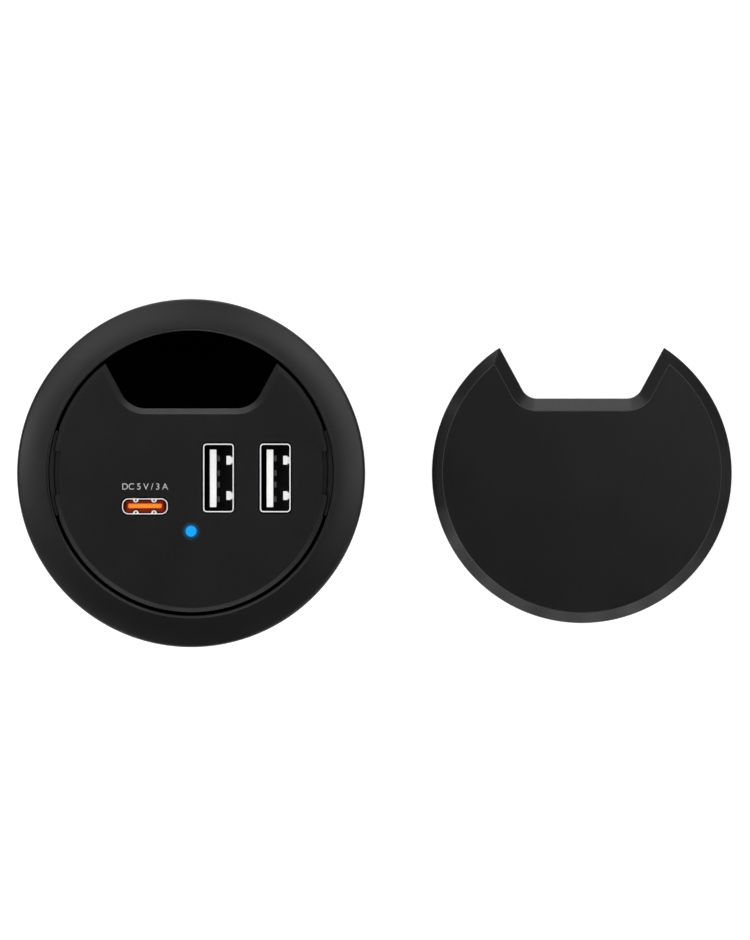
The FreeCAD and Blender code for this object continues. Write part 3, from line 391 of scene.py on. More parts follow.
class Wire:
    """A shader socket that takes part in sums, with a Math node for each operator."""

    def __init__(self, tree, socket):
        self.tree = tree
        self.socket = socket

    def _math(self, operation, first, second):
        node = self.tree.nodes.new("ShaderNodeMath")
        node.operation = operation
        for place, entry in enumerate((first, second)):
            if isinstance(entry, Wire):
                self.tree.links.new(entry.socket, node.inputs[place])
            else:
                node.inputs[place].default_value = entry
        return Wire(self.tree, node.outputs[0])

    def __add__(self, other):
        return self._math("ADD", self, other)

    def __sub__(self, other):
        return self._math("SUBTRACT", self, other)

    def __rsub__(self, other):
        return self._math("SUBTRACT", other, self)

    def __mul__(self, other):
        return self._math("MULTIPLY", self, other)

    __radd__ = __add__
    __rmul__ = __mul__


class Nodes:
    """A node tree under construction, round the shader that it feeds."""

    def __init__(self, owner, shader):
        owner.use_nodes = True
        self.tree = owner.node_tree
        self.shader = self.tree.nodes[shader]

    def set(self, **inputs):
        """Set or link sockets of the shader, named with underscores for spaces."""
        self._feed(self.shader, inputs)

    def _feed(self, node, inputs):
        for key, entry in inputs.items():
            socket = node.inputs[key if isinstance(key, int) else key.replace("_", " ")]
            if isinstance(entry, Wire):
                self.tree.links.new(entry.socket, socket)
            elif isinstance(entry, (tuple, list)) and len(entry) == 3 and socket.type == "RGBA":
                socket.default_value = (*entry, 1)
            else:
                socket.default_value = entry

    def node(self, kind, settings=None, stops=(), out=0, links=None, **inputs):
        """Add a node with its settings, ramp stops and inputs, and give one of its outputs."""
        made = self.tree.nodes.new(kind)
        for key, setting in (settings or {}).items():
            setattr(made, key, setting)
        if stops:
            ramp = made.color_ramp.elements
            while len(ramp) < len(stops):
                ramp.new(1)
            for element, (spot, level) in zip(ramp, stops):
                element.position = spot
                element.color = (level, level, level, 1)
        self._feed(made, {**(links or {}), **inputs})
        return Wire(self.tree, made.outputs[out])

    def blend(self, factor, first, second):
        """Mix two colours."""
        return self.node("ShaderNodeMix", {"data_type": "RGBA"}, out=2,
                         links={0: factor, 6: first, 7: second})


class Finish(Nodes):
    """A material under construction, with a Principled shader."""

    def __init__(self, name, **constants):
        self.material = bpy.data.materials.new(name)
        super().__init__(self.material, "Principled BSDF")
        self.set(**constants)
        self.place = self.node("ShaderNodeTexCoord", out="Object")

    def noise(self, scale, detail, roughness=0.5, vector=None):
        """Noise with a grain size of about 1 / scale millimetres."""
        return self.node("ShaderNodeTexNoise", Vector=vector or self.place, Scale=scale / MM,
                         Detail=detail, Roughness=roughness)

    def axis(self, name):
        """A coordinate of the piece in millimetres."""
        return self.node("ShaderNodeSeparateXYZ", out=name, Vector=self.place) * (1 / MM)

    def between(self, wire, low, high, first, last):
        """Take a number from one range to another, held at both ends."""
        return self.node("ShaderNodeMapRange", links={0: wire, 1: low, 2: high, 3: first, 4: last})

    def bump(self, height, distance):
        """Relief of a height in millimetres."""
        self.set(Normal=self.node("ShaderNodeBump", Height=height, Distance=distance * MM,
                                  Strength=1.0))
        return self

    def done(self):
        return self.material


def distance_to_light(made):
    """How far a point lies from the axis of the light's rod, in millimetres."""
    offset = made.node("ShaderNodeCombineXYZ",
                       links={0: made.axis("X"), 1: made.axis("Y") - LIGHT_Y})
    return made.node("ShaderNodeVectorMath", {"operation": "LENGTH"}, out=1, links={0: offset})


def moulded_plastic(name, colour, roughness, grain=7.0, relief=0.006, specular=0.5,
                    painted_halo=False):
    """Moulded plastic: a fine eroded texture with slightly uneven tone and shine.

    The halo option paints a blue glow of light, as emission, on the plastic round the light's rod.
    """
    made = Finish(name, Specular_IOR_Level=specular)
    if painted_halo:
        # Painted light: a blue halo as emission, fading out to twice the rod's radius
        near = made.between(distance_to_light(made), LIGHT_RADIUS, 2 * LIGHT_RADIUS, 1, 0)
        made.set(Emission_Color=made.blend(near * near, (0, 0, 0), (0.001, 0.08, 0.18)),
                 Emission_Strength=1.0)
    cloud = made.noise(0.09, 3)
    fine = made.noise(grain, 2, 0.6)
    grit = made.noise(grain * 2.6, 1)
    tone = made.between(cloud, 0.3, 0.7, 0.96, 1.04)
    speck = made.between(fine, 0.35, 0.7, 0.96, 1.05)
    made.set(Base_Color=made.node("ShaderNodeVectorMath", {"operation": "SCALE"},
                                  links={0: colour}, Scale=tone * speck),
             Roughness=made.between(cloud + fine * 0.5, 0.4, 1.1, roughness - 0.015,
                                    roughness + 0.025))
    return made.bump(fine + grit * 0.5, relief).done()


def pressed_steel(name, colour, roughness, metallic=1.0, painted_shade_below=None):
    """Sheet metal with fine upright drawing lines, painted black under a level as shade down
    inside the ports.
    """
    made = Finish(name, Metallic=metallic)
    lines = made.noise(9, 3, 0.65, made.node("ShaderNodeVectorMath", {"operation": "MULTIPLY"},
                                            links={0: made.place, 1: (1, 1, 0.04)}))
    cloud = made.noise(0.7, 2)
    sheen = made.blend(made.between(lines, 0.3, 0.7, 0, 1),
                       [c * 0.9 for c in colour], [min(1, c * 1.06) for c in colour])
    if painted_shade_below is not None:
        # Painted shade: under the level the steel's colour falls to near black, standing in for
        # the shade inside the port
        sheen = made.blend(made.between(made.axis("Z"), painted_shade_below - 0.25, painted_shade_below, 0, 1),
                           [c * 0.03 for c in colour], sheen)
    made.set(Base_Color=sheen,
             Roughness=made.between(lines + cloud * 0.6, 0.5, 1.1, roughness - 0.06,
                                    roughness + 0.08))
    return made.bump(lines, 0.004).done()


GLOSS = {"colour": (0.0065, 0.0065, 0.0067), "roughness": 0.23, "relief": 0.003,
         "specular": 0.35}
BLACK = moulded_plastic("black_abs", **GLOSS)
# The panel's copy of the black plastic carries a painted blue halo of light round the light's rod
BLACK_PANEL = moulded_plastic("black_abs_panel_halo", painted_halo=True, **GLOSS)
# Near-black, nearly matt finish for the bore's inner wall: painted shade down the well
BORE_SHADE = moulded_plastic("black_bore_shade", (0.0006, 0.0006, 0.0006), 0.7, specular=0.04)
# The cap's copy of the black plastic is darker than the charger's: painted shade that brings its
# tone down under the lamps
BLACK_CAP_SHADED = moulded_plastic("black_abs_cap_shaded", **{**GLOSS, "colour": (0.0038, 0.0038, 0.004)})
# Lighter, glossier black for the cover's fillet line: a painted highlight
EDGE_HIGHLIGHT = moulded_plastic("black_abs_edge_highlight", (0.013, 0.013, 0.0133), 0.3, relief=0.003)
BLACK_CLAMP = moulded_plastic("black_abs_clamp", (0.012, 0.012, 0.0125), 0.5, 5.0, 0.008)
BLACK_NYLON = moulded_plastic("black_nylon", (0.006, 0.006, 0.006), 0.55)
PAD_NYLON = moulded_plastic("pad_nylon", (0.075, 0.075, 0.077), 0.5)
WHITE_NYLON = moulded_plastic("white_nylon", (0.94, 0.94, 0.93), 0.42, 5.0, 0.003)
# The shells are painted near black from just under their rims down: painted shade inside the ports
SHELL_STEEL = pressed_steel("shell_steel", (0.9, 0.9, 0.9), 0.42, 0.25, painted_shade_below=3.1)
SPRING_STEEL = pressed_steel("spring_steel", (0.93, 0.93, 0.93), 0.4, 0.1)
SCREW_STEEL = pressed_steel("zinc_steel", (0.55, 0.55, 0.57), 0.4)
CONTACT_PLATE = pressed_steel("contact_plate", (0.85, 0.66, 0.36), 0.35, 0.6)


def orange_nylon():
    """Orange nylon, redder at the tongue's ends, with painted shade down in the mouth, a painted
    pool of dim red light there and a painted glow on the tongue's face.
    """
    made = Finish("orange_nylon", Roughness=0.42)
    across = made.node("ShaderNodeMath", {"operation": "ABSOLUTE"},
                       links={0: made.axis("X") - USB_C_PLACE[0]})
    ends = made.between(across, 2.7, 3.24, 0, 1)
    beside = made.node("ShaderNodeMath", {"operation": "ABSOLUTE"},
                       links={0: made.axis("Y") - USB_C_PLACE[1]})
    to_dent = made.node("ShaderNodeVectorMath", {"operation": "LENGTH"}, out=1, links={
        0: made.node("ShaderNodeCombineXYZ",
                     links={0: across - DENT_REACH, 1: beside - DENT_RISE})})
    # Painted light: a dim red pool down in the mouth under its open middle, fading towards the
    # shell's walls and by the dents
    lit = (made.between(across, 3.3, 3.8, 1, 0.18) * made.between(beside, 0.95, 1.15, 1, 0.15)
           * made.between(to_dent, 0.55, 0.8, 0.1, 1))
    depth = made.between(made.axis("Z"), -2.4, 1.6, 1, 0)
    face = made.blend(ends, (1.0, 0.29, 0.01), (0.95, 0.14, 0.008))
    # Down in the mouth the colour is painted shade, black but for the pool. The tongue's top face
    # has a painted orange glow as emission, making up for light that the mouth shades off
    made.set(Base_Color=made.blend(depth, face, made.blend(lit, (0, 0, 0), (0.9, 0.06, 0.01))),
             Emission_Color=made.blend(depth, (0.24, 0.035, 0), made.blend(
                 lit, (0, 0, 0), (0.13, 0.01, 0.001))),
             Emission_Strength=1.0)
    return made.bump(made.noise(5, 2), 0.003).done()


def light_guide():
    """The clear rod's lit end, a little deeper in tone at its rim."""
    made = Finish("lit_rod", Base_Color=(0.0, 0.01, 0.02), Roughness=0.3, Emission_Strength=1.0,
                  Specular_IOR_Level=0.2)
    rim = made.between(distance_to_light(made), 0.1, 1.1, 0, 1)
    made.set(Emission_Color=made.blend(rim, (0.004, 0.385, 1.0), (0.002, 0.36, 0.97)))
    return made.done()


def laminate():
    """Green solder mask over copper tracks, with bare pads."""
    made = Finish("board_laminate", Roughness=0.3)
    weave = made.noise(1.6, 2)
    tracks = made.node("ShaderNodeTexBrick", out=1, Vector=made.place, Scale=1 / MM / 3,
                       Mortar_Size=0.12)
    made.set(Base_Color=made.blend(tracks, (0.01, 0.1, 0.035), (0.02, 0.16, 0.06)),
             Roughness=made.between(weave, 0.3, 0.7, 0.24, 0.4))
    return made.bump(tracks + weave * 0.1, 0.02).done()


def plain(name, colour, roughness, metallic=0.0, **more):
    """A small part's finish with a grained tone and shine."""
    made = Finish(name, Metallic=metallic, **more)
    grained = made.noise(2, 3)
    made.set(Base_Color=made.blend(made.between(grained, 0.3, 0.7, 0, 1),
                                   [c * 0.85 for c in colour], [min(1, c * 1.12) for c in colour]),
             Roughness=made.between(grained, 0.3, 0.7, roughness - 0.07, roughness + 0.07))
    return made.bump(grained, 0.006).done()


def desk_sleeve():
    """Desk sleeve: flange, neck, threaded tube and the ledge at its foot."""
    dome_radius = 40.0
    edge, edge_level = 0.55, 1.5
    dome_from, dome_to, dome_steps = 32.56, 27.70, 12
    rim, inner = Vector((FLANGE, edge_level)), Vector((27.62, 2.08))
    chord = inner - rim
    middle = (rim + inner) / 2
    dip = math.sqrt(dome_radius ** 2 - chord.length ** 2 / 4)
    centre = middle + Vector((-chord.y, chord.x)).normalized() * dip
    if centre.y > rim.y:
        centre = middle - Vector((-chord.y, chord.x)).normalized() * dip
    # The flange's edge is a fillet that runs into the dome
    dome = []
    for step in range(dome_steps + 1):
        across = dome_from + (dome_to - dome_from) * step / dome_steps
        dome.append((across, centre.y + math.sqrt(dome_radius ** 2 - (across - centre.x) ** 2), 0))
    corners = [
        (BORE, LIP_TOP, 0.2), (LEDGE, LIP_TOP, 0.2), (LEDGE, FLOOR, 0.15),
        (THREAD_ROOT, FLOOR, 0.3), (THREAD_ROOT, NECK_FOOT, 0.15), (NECK, NECK_FOOT, 0.25),
        (NECK, 0, 0.2), (FLANGE, 0, 0.2), (FLANGE, edge_level, edge),
    ] + dome + [
        # The fine groove, the ridge inside it, and the groove for the arms' hooks
        (27.52, 2.09, 0.03), (27.3, 1.978, 0.03), (27.17, 2.07, 0.04), (BORE, 2.07, 0.06),
        (BORE, -5.0, 0.05), (27.5, -5.0, 0.05), (27.5, -6.4, 0.05), (BORE, -6.4, 0.05),
    ]
    sleeve = lathe("desk_sleeve", rounded(corners))
    thread = screw_thread([(THREAD_ROOT - 0.2, -0.9), (THREAD_CREST, -0.4), (THREAD_CREST, 0.4),
                           (THREAD_ROOT - 0.2, 0.9)], -38.4, 9)
    combine(sleeve, thread, "UNION")
    slot_y, slot_width, slot_depth, slot_top = -29.3, 5.0, 2.6, -9.5
    plate(0, slot_y, slot_width, slot_depth, 0, slot_top)
    key = raised("key_slot", [(0, slot_top), (0, FLOOR - 1)])
    combine(sleeve, key)
    edit(sleeve)
    assign(lambda spot, face: True, 0)
    # The bore's inner wall takes the near-black finish, painted shade down the well
    assign(lambda spot, face: LIP_TOP - 0.3 < spot.z < 1 and math.hypot(spot.x, spot.y) < 27.3, 1)
    leave()
    finished(sleeve, "sleeve", [BLACK, BORE_SHADE],
             replaces="desk_sleeve")


def pressure_washer():
    """Keyed washer under the desk, with chamfered edges and a tongue in the sleeve's slot."""
    inner, outer, rim = 29.85, 32.8, 31.9
    washer = lathe("washer", rounded([
        (inner, WASHER_BOTTOM, 0.25), (outer, WASHER_BOTTOM, 0.5), (outer, WASHER_TOP, 0.3),
        (inner, WASHER_TOP, 0.25)]))
    key_foot, key_top = WASHER_BOTTOM + 0.02, WASHER_TOP - 0.02
    plate(0, -29.7, 4.6, 3.0, 0.4, key_foot)
    key = raised("washer_key", [(0, key_foot), (0, key_top)])
    combine(washer, key, "UNION")
    groove_floor = WASHER_TOP - 0.5
    disc(0, 0, rim, groove_floor, 128)
    groove = raised("washer_groove", [(0, groove_floor), (0, -18)])
    disc(0, 0, rim - 0.7, -21, 128)
    combine(groove, raised("washer_groove_core", [(0, -21), (0, -17)]))
    combine(washer, groove)
    finished(washer, "clamp_washer", BLACK_CLAMP, "washer",
             "pressure_washer")


def clamp_nut():
    """Nut with finger grips all round and a coarse inner thread."""
    outer, bottom, top = 32.5, NUT_BOTTOM, WASHER_BOTTOM
    grip_count, grip_radius, grip_depth = 24, 1.3, 0.6
    nut = lathe("nut", rounded([
        (29.85, bottom, 0.4), (outer, bottom, 0.8), (outer, top, 0.8), (29.85, top, 0.4)]))
    grips = []
    for place in range(grip_count):
        disc(outer + grip_radius - grip_depth, 0, grip_radius, bottom - 1, 24)
        grips.append(turned_about(raised("grip", [(0, bottom - 1), (0, top + 1)]),
                                  TURN * place / grip_count))
    combine(nut, join(*grips))
    crest, root = 29.05, 30.05
    thread = screw_thread([(crest, -0.45), (root, -0.95), (root, 0.95), (crest, 0.45)],
                          bottom + 1.5, 1.7)
    combine(nut, thread, "UNION")
    finished(nut, "thumb_nut", BLACK_CLAMP, "nut", "clamp_nut")


def port_cutters():
    """The openings in the panel, each with a slightly softened edge."""
    edge = edge_profile(PANEL_TOP, PANEL_BOTTOM - 1, 0.04)
    wider, top = edge[0]

    def mouth(x, y, width, length, corner, steps):
        plate(x, y, width + 2 * wider, length + 2 * wider, corner + wider, top, steps)

    for place in USB_A_PLACES.values():
        mouth(place, USB_A_Y, *USB_A_OPENING, 6)
        yield raised("a_opening", edge)
    mouth(*USB_C_PLACE, *USB_C_OPENING, 14)
    yield raised("c_opening", edge)
    disc(0, LIGHT_Y, LIGHT_RADIUS + 0.02 + wider, top, 48)
    yield raised("light_opening", edge)


def ring_places(ring, high_angle, low_angle):
    """Two places beside the notch and two on the far side."""
    for side in (1, -1):
        for turn, angle in ((1, high_angle), (-1, low_angle)):
            spot = math.radians(angle)
            yield side * ring * math.cos(spot), turn * ring * math.sin(spot)


POSTS = list(ring_places(21.4, 27, 52))
COLUMNS = list(ring_places(21.2, 20, 55))


def port_panel():
    """Panel: the disc with its bevel, notch, openings, catches for the cover, and posts below."""
    disc(0, 0, PANEL_RADIUS, PANEL_BOTTOM)
    panel = raised("panel", upward(edge_profile(PANEL_TOP, PANEL_BOTTOM, 0.04, *PANEL_BEVEL,
                                                rim=0.4)))
    combine(panel, notch_cutter("notch", 0, edge_profile(PANEL_TOP, PANEL_BOTTOM - 1, 0.08,
                                                         *NOTCH_BEVEL, rim=0.15)))
    # Each recess in the edge: how far in and how far down it goes, and half its angle
    recesses = {"window": (26.2, 0, WINDOW_HALF_ANGLE),
                "catch": (25.0, PANEL_TOP - 1.1, CATCH_HALF_ANGLE),
                "slot": (25.7, 0, CATCH_HALF_ANGLE)}
    for middle in (0, math.pi):
        for part, (inner, low, half_angle) in recesses.items():
            combine(panel, ring_block(part, inner, 28, low, 5, middle, half_angle))
    for cutter in port_cutters():
        combine(panel, cutter)
    for x, y in POSTS:
        disc(x, y, 2.0, PORT_BOARD_TOP, 32)
        combine(panel, raised("post", [(0, PORT_BOARD_TOP), (0, PANEL_BOTTOM + 0.3)]), "UNION")
        disc(x, y, SCREW_HOLE, PORT_BOARD_TOP - 1, 24)
        combine(panel, raised("hole", [(0, PORT_BOARD_TOP - 1), (0, PORT_BOARD_TOP + 4.6)]))
    finished(panel, "panel", BLACK_PANEL, replaces="port_panel")


def module_housing():
    """Housing: the walls under the panel, four screw columns and the two sprung arms."""
    wall = 1.5
    housing = notched_block("housing", -HOUSING_GAP, BASE_TOP, PANEL_BOTTOM)
    combine(housing, notched_block("hollow", -HOUSING_GAP - wall, BASE_TOP - 1,
                                   PANEL_BOTTOM + 1))
    for x, y in COLUMNS:
        disc(x, y, 3.4, BASE_TOP, 48)
        combine(housing, raised("column", [(0, BASE_TOP), (0, POWER_BOARD_BOTTOM)]), "UNION")
        for start, end in ((BASE_TOP - 1, BASE_TOP + SCREW_REACH),
                           (POWER_BOARD_BOTTOM + 1, POWER_BOARD_BOTTOM - SCREW_REACH)):
            disc(x, y, SCREW_HOLE, start, 24)
            combine(housing, raised("hole", [(0, start), (0, end)]))
    wide, narrow = math.radians(17.6), math.radians(8.9)
    for middle in (0, math.pi):
        arm = rounded([(25.15, -13, 0), (26.86, -13, 0), (26.86, 1.85, 0.05), (26.3, 1.85, 0.1),
                       (26.3, -10, 0.4), (25.15, -10, 0)], 3)
        for part in (sector("arm", arm, middle, wide),
                     ring_block("arm_pad", 26.0, 26.7, -0.15, 1.8, middle, narrow, 0.1),
                     sector("hook", [(26.5, -6.2), (26.75, -6.2), (27.25, -5.9), (27.25, -5.3),
                                     (26.75, -5.2), (26.5, -5.2)], middle, CATCH_HALF_ANGLE)):
            combine(housing, part, "UNION")
    finished(housing, "housing", BLACK, replaces="module_housing")


def base_plate():
    """Base plate with countersunk seats for its screws and the hole of the inlet's nose."""
    chamfer, hole, sink, nose_hole = 0.4, 1.25, 2.25, 4.2
    disc(0, 0, PANEL_RADIUS - HOUSING_GAP, BASE_TOP)
    base = raised("base", [(0, BASE_TOP), (0, LIP_TOP + chamfer), (-chamfer, LIP_TOP)])
    combine(base, notch_cutter("notch", HOUSING_GAP, [(0, BASE_TOP + 1), (0, LIP_TOP - 1)]))
    for x, y in COLUMNS:
        disc(x, y, hole, LIP_TOP - 1, 32)
        combine(base, raised("hole", [(0, LIP_TOP - 1), (0, BASE_TOP + 1)]))
        disc(x, y, sink, LIP_TOP - 1, 48)
        combine(base, raised("sink", [(0, LIP_TOP - 1), (0, SCREW_SEAT)]))
    disc(0, JACK_Y, nose_hole, LIP_TOP - 1, 64)
    combine(base, raised("nose_hole", [(0, LIP_TOP - 1), (0, BASE_TOP + 1)]))
    finished(base, "base_plate_face", BLACK, replaces="base_plate")


def base_screws():
    """Base screws: domed heads with a cross recess, seen from below."""
    head, head_radius, shank_radius = LIP_TOP, 2.1, 1.1
    disc(0, 0, head_radius, SCREW_SEAT, 48)
    screw = raised("screw", [(0, SCREW_SEAT), (0, head + 0.5), (-0.25, head + 0.12),
                             (-0.8, head)])
    for turn in (0, math.pi / 2):
        plate(0, 0, 0.55, 2.3, 0.1, head - 1)
        cross = raised("cross", [(0, head - 1), (0, head + 0.7)])
        combine(screw, turned_about(cross, turn + 0.3))
    disc(0, 0, shank_radius, SCREW_SEAT - 0.2, 32)
    combine(screw, raised("shank", [(0, SCREW_SEAT - 0.2), (0, SCREW_SEAT + 5.0),
                                    (-0.5, SCREW_SEAT + SCREW_REACH)]), "UNION")
    made = []
    for place, (x, y) in enumerate(COLUMNS):
        made.append(moved(turned_about(twin(screw), place * 0.8), x, y))
    bpy.data.objects.remove(screw)
    finished(join(*made), "base_screw_heads", SCREW_STEEL,
             replaces="base_screws")


def usb_a_port(side, place):
    """A receptacle: folded shell, tongue on a block painted black as shade, four contact pads, two
    springs.
    """
    width, length, corner, sheet = 5.83, 13.02, 0.7, 0.24
    plate(place, USB_A_Y, width, length, corner, PORT_BOARD_TOP, 8)
    bpy.ops.mesh.inset(thickness=sheet)
    bpy.ops.mesh.delete(type="FACE")
    bpy.ops.mesh.select_all(action="SELECT")
    bpy.ops.mesh.extrude_region_move(
        TRANSFORM_OT_translate={"value": (0, 0, PANEL_TOP - PORT_BOARD_TOP)})
    tidy_normals()
    shell = leave("shell")
    modify(shell, "BEVEL", width=0.07, segments=2, limit_method="ANGLE",
           angle_limit=math.radians(60))
    # The seam where the folded sheet meets, on the back face
    plate(place - 2.85, USB_A_Y, 0.5, 0.06, 0, PORT_BOARD_TOP - 1)
    combine(shell, raised("seam", [(0, PORT_BOARD_TOP - 1), (0, 2.4)]))
    finished(shell, "usb_a_%s_can" % side, SHELL_STEEL,
             replaces="usb_a_%s_shell" % side)

    blade_x = place - 1.01
    block_top = PORT_BOARD_TOP + 4.0
    plate(place, USB_A_Y, 5.27, 12.46, 0.3, PORT_BOARD_TOP)
    tongue = raised("tongue", [(0, PORT_BOARD_TOP), (0, block_top - 0.2), (-0.2, block_top)])
    blade_width, blade_length = 1.25, 10.93
    plate(blade_x, USB_A_Y - 0.08, blade_width, blade_length, 0.15, PORT_BOARD_TOP + 1)
    blade = raised("blade", [(0, PORT_BOARD_TOP + 1), (0, 2.43), (-0.03, 2.48), (-0.08, 2.5)])
    combine(tongue, blade, "UNION")
    edit(tongue)
    assign(lambda spot, face: True, 0)
    # The block under the tongue takes black nylon: painted shade deep in the port
    assign(lambda spot, face: spot.z < block_top + 0.05, 1)
    leave()
    finished(tongue, "usb_a_%s_blade" % side, [WHITE_NYLON, BLACK_NYLON],
             replaces="usb_a_%s_tongue" % side)

    pads = []
    pad_x = blade_x + 0.94
    for row in (3.87, 1.1, -1.1, -3.87):
        for leaf in (-0.16, 0.16):
            plate(pad_x + leaf, USB_A_Y - 0.18 + row, 0.25, 1.06, 0.06, block_top, 2)
            pads.append(raised("pad", [(0, block_top), (0, 1.64), (-0.05, 1.7)]))
    finished(join(*pads), "usb_a_%s_pads" % side, PAD_NYLON,
             replaces="usb_a_%s_contacts" % side)

    wall, top, thick, reach, breadth = place + 2.68, 2.85, 0.22, 1.19, 1.68
    leaves = []
    for row in (3.35, -3.35):
        traced([(wall, top), (wall - reach, top - 0.55), (wall - reach, top - 1.0),
                (wall, top - 7.0), (wall, top - 6.6), (wall - reach + thick, top - 1.0),
                (wall, top - thick)], upright=True)
        bpy.ops.mesh.extrude_region_move(TRANSFORM_OT_translate={"value": (0, breadth, 0)})
        tidy_normals()
        leaf = moved(leave("leaf"), y=USB_A_Y + row - breadth / 2)
        for edge in (-1, 1):
            plate(wall + 0.25, USB_A_Y + row + edge * 0.97, 1.3, 0.72, 0.12, top + 0.5, 3)
            combine(leaf, raised("relief", [(0, top + 0.5), (0, top - 1.4)]))
        modify(leaf, "BEVEL", width=0.03, segments=1, limit_method="ANGLE",
               angle_limit=math.radians(40))
        leaves.append(leaf)
    finished(join(*leaves), "usb_a_%s_leaves" % side, SPRING_STEEL,
             replaces="usb_a_%s_springs" % side)


def usb_c_port():
    """C receptacle: drawn shell with four dents, tongue and two rows of contacts."""
    x, y = USB_C_PLACE
    length, width, corner, sheet, soft = 8.65, 3.03, 1.22, 0.2, 0.04
    plate(x, y, length, width, corner, PORT_BOARD_TOP, 16)
    can = raised("can", [(0, PORT_BOARD_TOP), (0, PANEL_TOP - 0.05), (-soft, PANEL_TOP)])
    wider = soft - sheet
    plate(x, y, length + 2 * wider, width + 2 * wider, corner + wider, PANEL_TOP + 0.02, 16)
    hollow = raised("mouth", [(soft, PANEL_TOP + 0.02), (0, PANEL_TOP - 0.05),
                              (0, PORT_BOARD_TOP - 1)])
    corners = [(side, turn) for turn in (1, -1) for side in (1, -1)]
    for side, turn in corners:
        disc(x + side * DENT_REACH, y + turn * DENT_RISE, 0.53, PANEL_TOP - 0.06, 32)
        combine(hollow, raised("bump", [(0, PANEL_TOP - 0.06), (0, PANEL_TOP - 3.6)]))
    combine(can, hollow)
    for side, turn in corners:
        disc(x + side * DENT_REACH, y + turn * 1.13, 0.19, PANEL_TOP + 1, 24)
        combine(can, raised("dent", [(0, PANEL_TOP + 1), (0, PANEL_TOP - 3.2)]))
    finished(can, "usb_c_can", SHELL_STEEL, replaces="usb_c_shell")

    root, blade_y = -2.6, y + 0.1
    plate(x, y, 8.16, 2.54, 0.97, PORT_BOARD_TOP, 16)
    tongue = raised("tongue", [(0, PORT_BOARD_TOP), (0, root - 0.1), (-0.1, root)])
    plate(x, blade_y, 6.48, 0.84, 0.2, PORT_BOARD_TOP + 1, 4)
    blade = raised("blade", [(0, PORT_BOARD_TOP + 1), (0, 2.2), (-0.05, 2.27), (-0.12, 2.3)])
    combine(tongue, blade, "UNION")
    finished(tongue, "usb_c_blade", orange_nylon(), replaces="usb_c_tongue")

    strips = []
    for turn in (1, -1):
        for place in range(12):
            plate(x + (place - 5.5) * 0.5, blade_y + turn * 0.44, 0.26, 0.1, 0.02, root, 1)
            strips.append(raised("strip", [(0, root), (0, 2.06), (-0.02, 2.1)]))
    finished(join(*strips), "usb_c_strips", CONTACT_PLATE,
             replaces="usb_c_contacts")


def light_pipe():
    """Clear rod of the light, with its collar under the panel and a slightly domed end."""
    foot = -10.4
    disc(0, LIGHT_Y, LIGHT_RADIUS, foot, 48)
    rod = raised("rod", [(0, foot), (0, PANEL_TOP - 0.06), (-0.06, PANEL_TOP - 0.02),
                         (-0.3, PANEL_TOP - 0.01), (-0.7, PANEL_TOP)])
    disc(0, LIGHT_Y, 1.7, 0.4, 48)
    collar = raised("collar", [(0, 0.4), (0, 1.1), (-0.1, 1.2)])
    combine(rod, collar, "UNION")
    finished(rod, "light_rod", light_guide(), replaces="light_pipe")


def dc_inlet():
    """Power inlet: moulded block and nose, centre pin and sprung contact."""
    plate(0, JACK_Y, 9.0, 11.0, 0.4, BASE_TOP)
    block = raised("inlet", [(0, BASE_TOP), (0, POWER_BOARD_BOTTOM - 0.2),
                             (-0.2, POWER_BOARD_BOTTOM)])
    nose_end, funnel = -38.2, 0.3
    disc(0, JACK_Y, 4.1, BASE_TOP + 2, 64)
    nose = raised("nose", [(0, BASE_TOP + 2), (0, nose_end + 0.15), (-0.15, nose_end)])
    combine(block, nose, "UNION")
    disc(0, JACK_Y, JACK_BORE + funnel, nose_end - 0.1, 64)
    bore = raised("bore", [(funnel, nose_end - 0.1), (0, nose_end + 0.2), (0, JACK_BORE_END)])
    combine(block, bore)
    finished(block, "inlet_block", BLACK_NYLON, replaces="dc_inlet_body")

    disc(0, JACK_Y, 1.0, JACK_BORE_END, 32)
    pin = raised("pin", [(0, JACK_BORE_END), (0, -37.3), (-0.12, -37.5), (-0.4, -37.6)])
    finished(pin, "inlet_pin", CONTACT_PLATE, replaces="dc_inlet_pin")

    half_width, low = 1.0, -36.2
    wall = math.sqrt(JACK_BORE ** 2 - half_width ** 2)
    traced([(wall, low), (wall, low + 6), (wall - 0.3, low + 6), (wall - 0.75, low + 3.6),
            (wall - 0.9, low + 2), (wall - 0.75, low + 1.2), (wall - 0.3, low)], upright=True)
    bpy.ops.mesh.extrude_region_move(TRANSFORM_OT_translate={"value": (0, 2 * half_width, 0)})
    tidy_normals()
    leaf = moved(leave("inlet_leaf"), y=JACK_Y - half_width)
    modify(leaf, "BEVEL", width=0.04, segments=1, limit_method="ANGLE",
           angle_limit=math.radians(40))
    finished(leaf, "inlet_leaf", SPRING_STEEL, replaces="dc_inlet_spring")


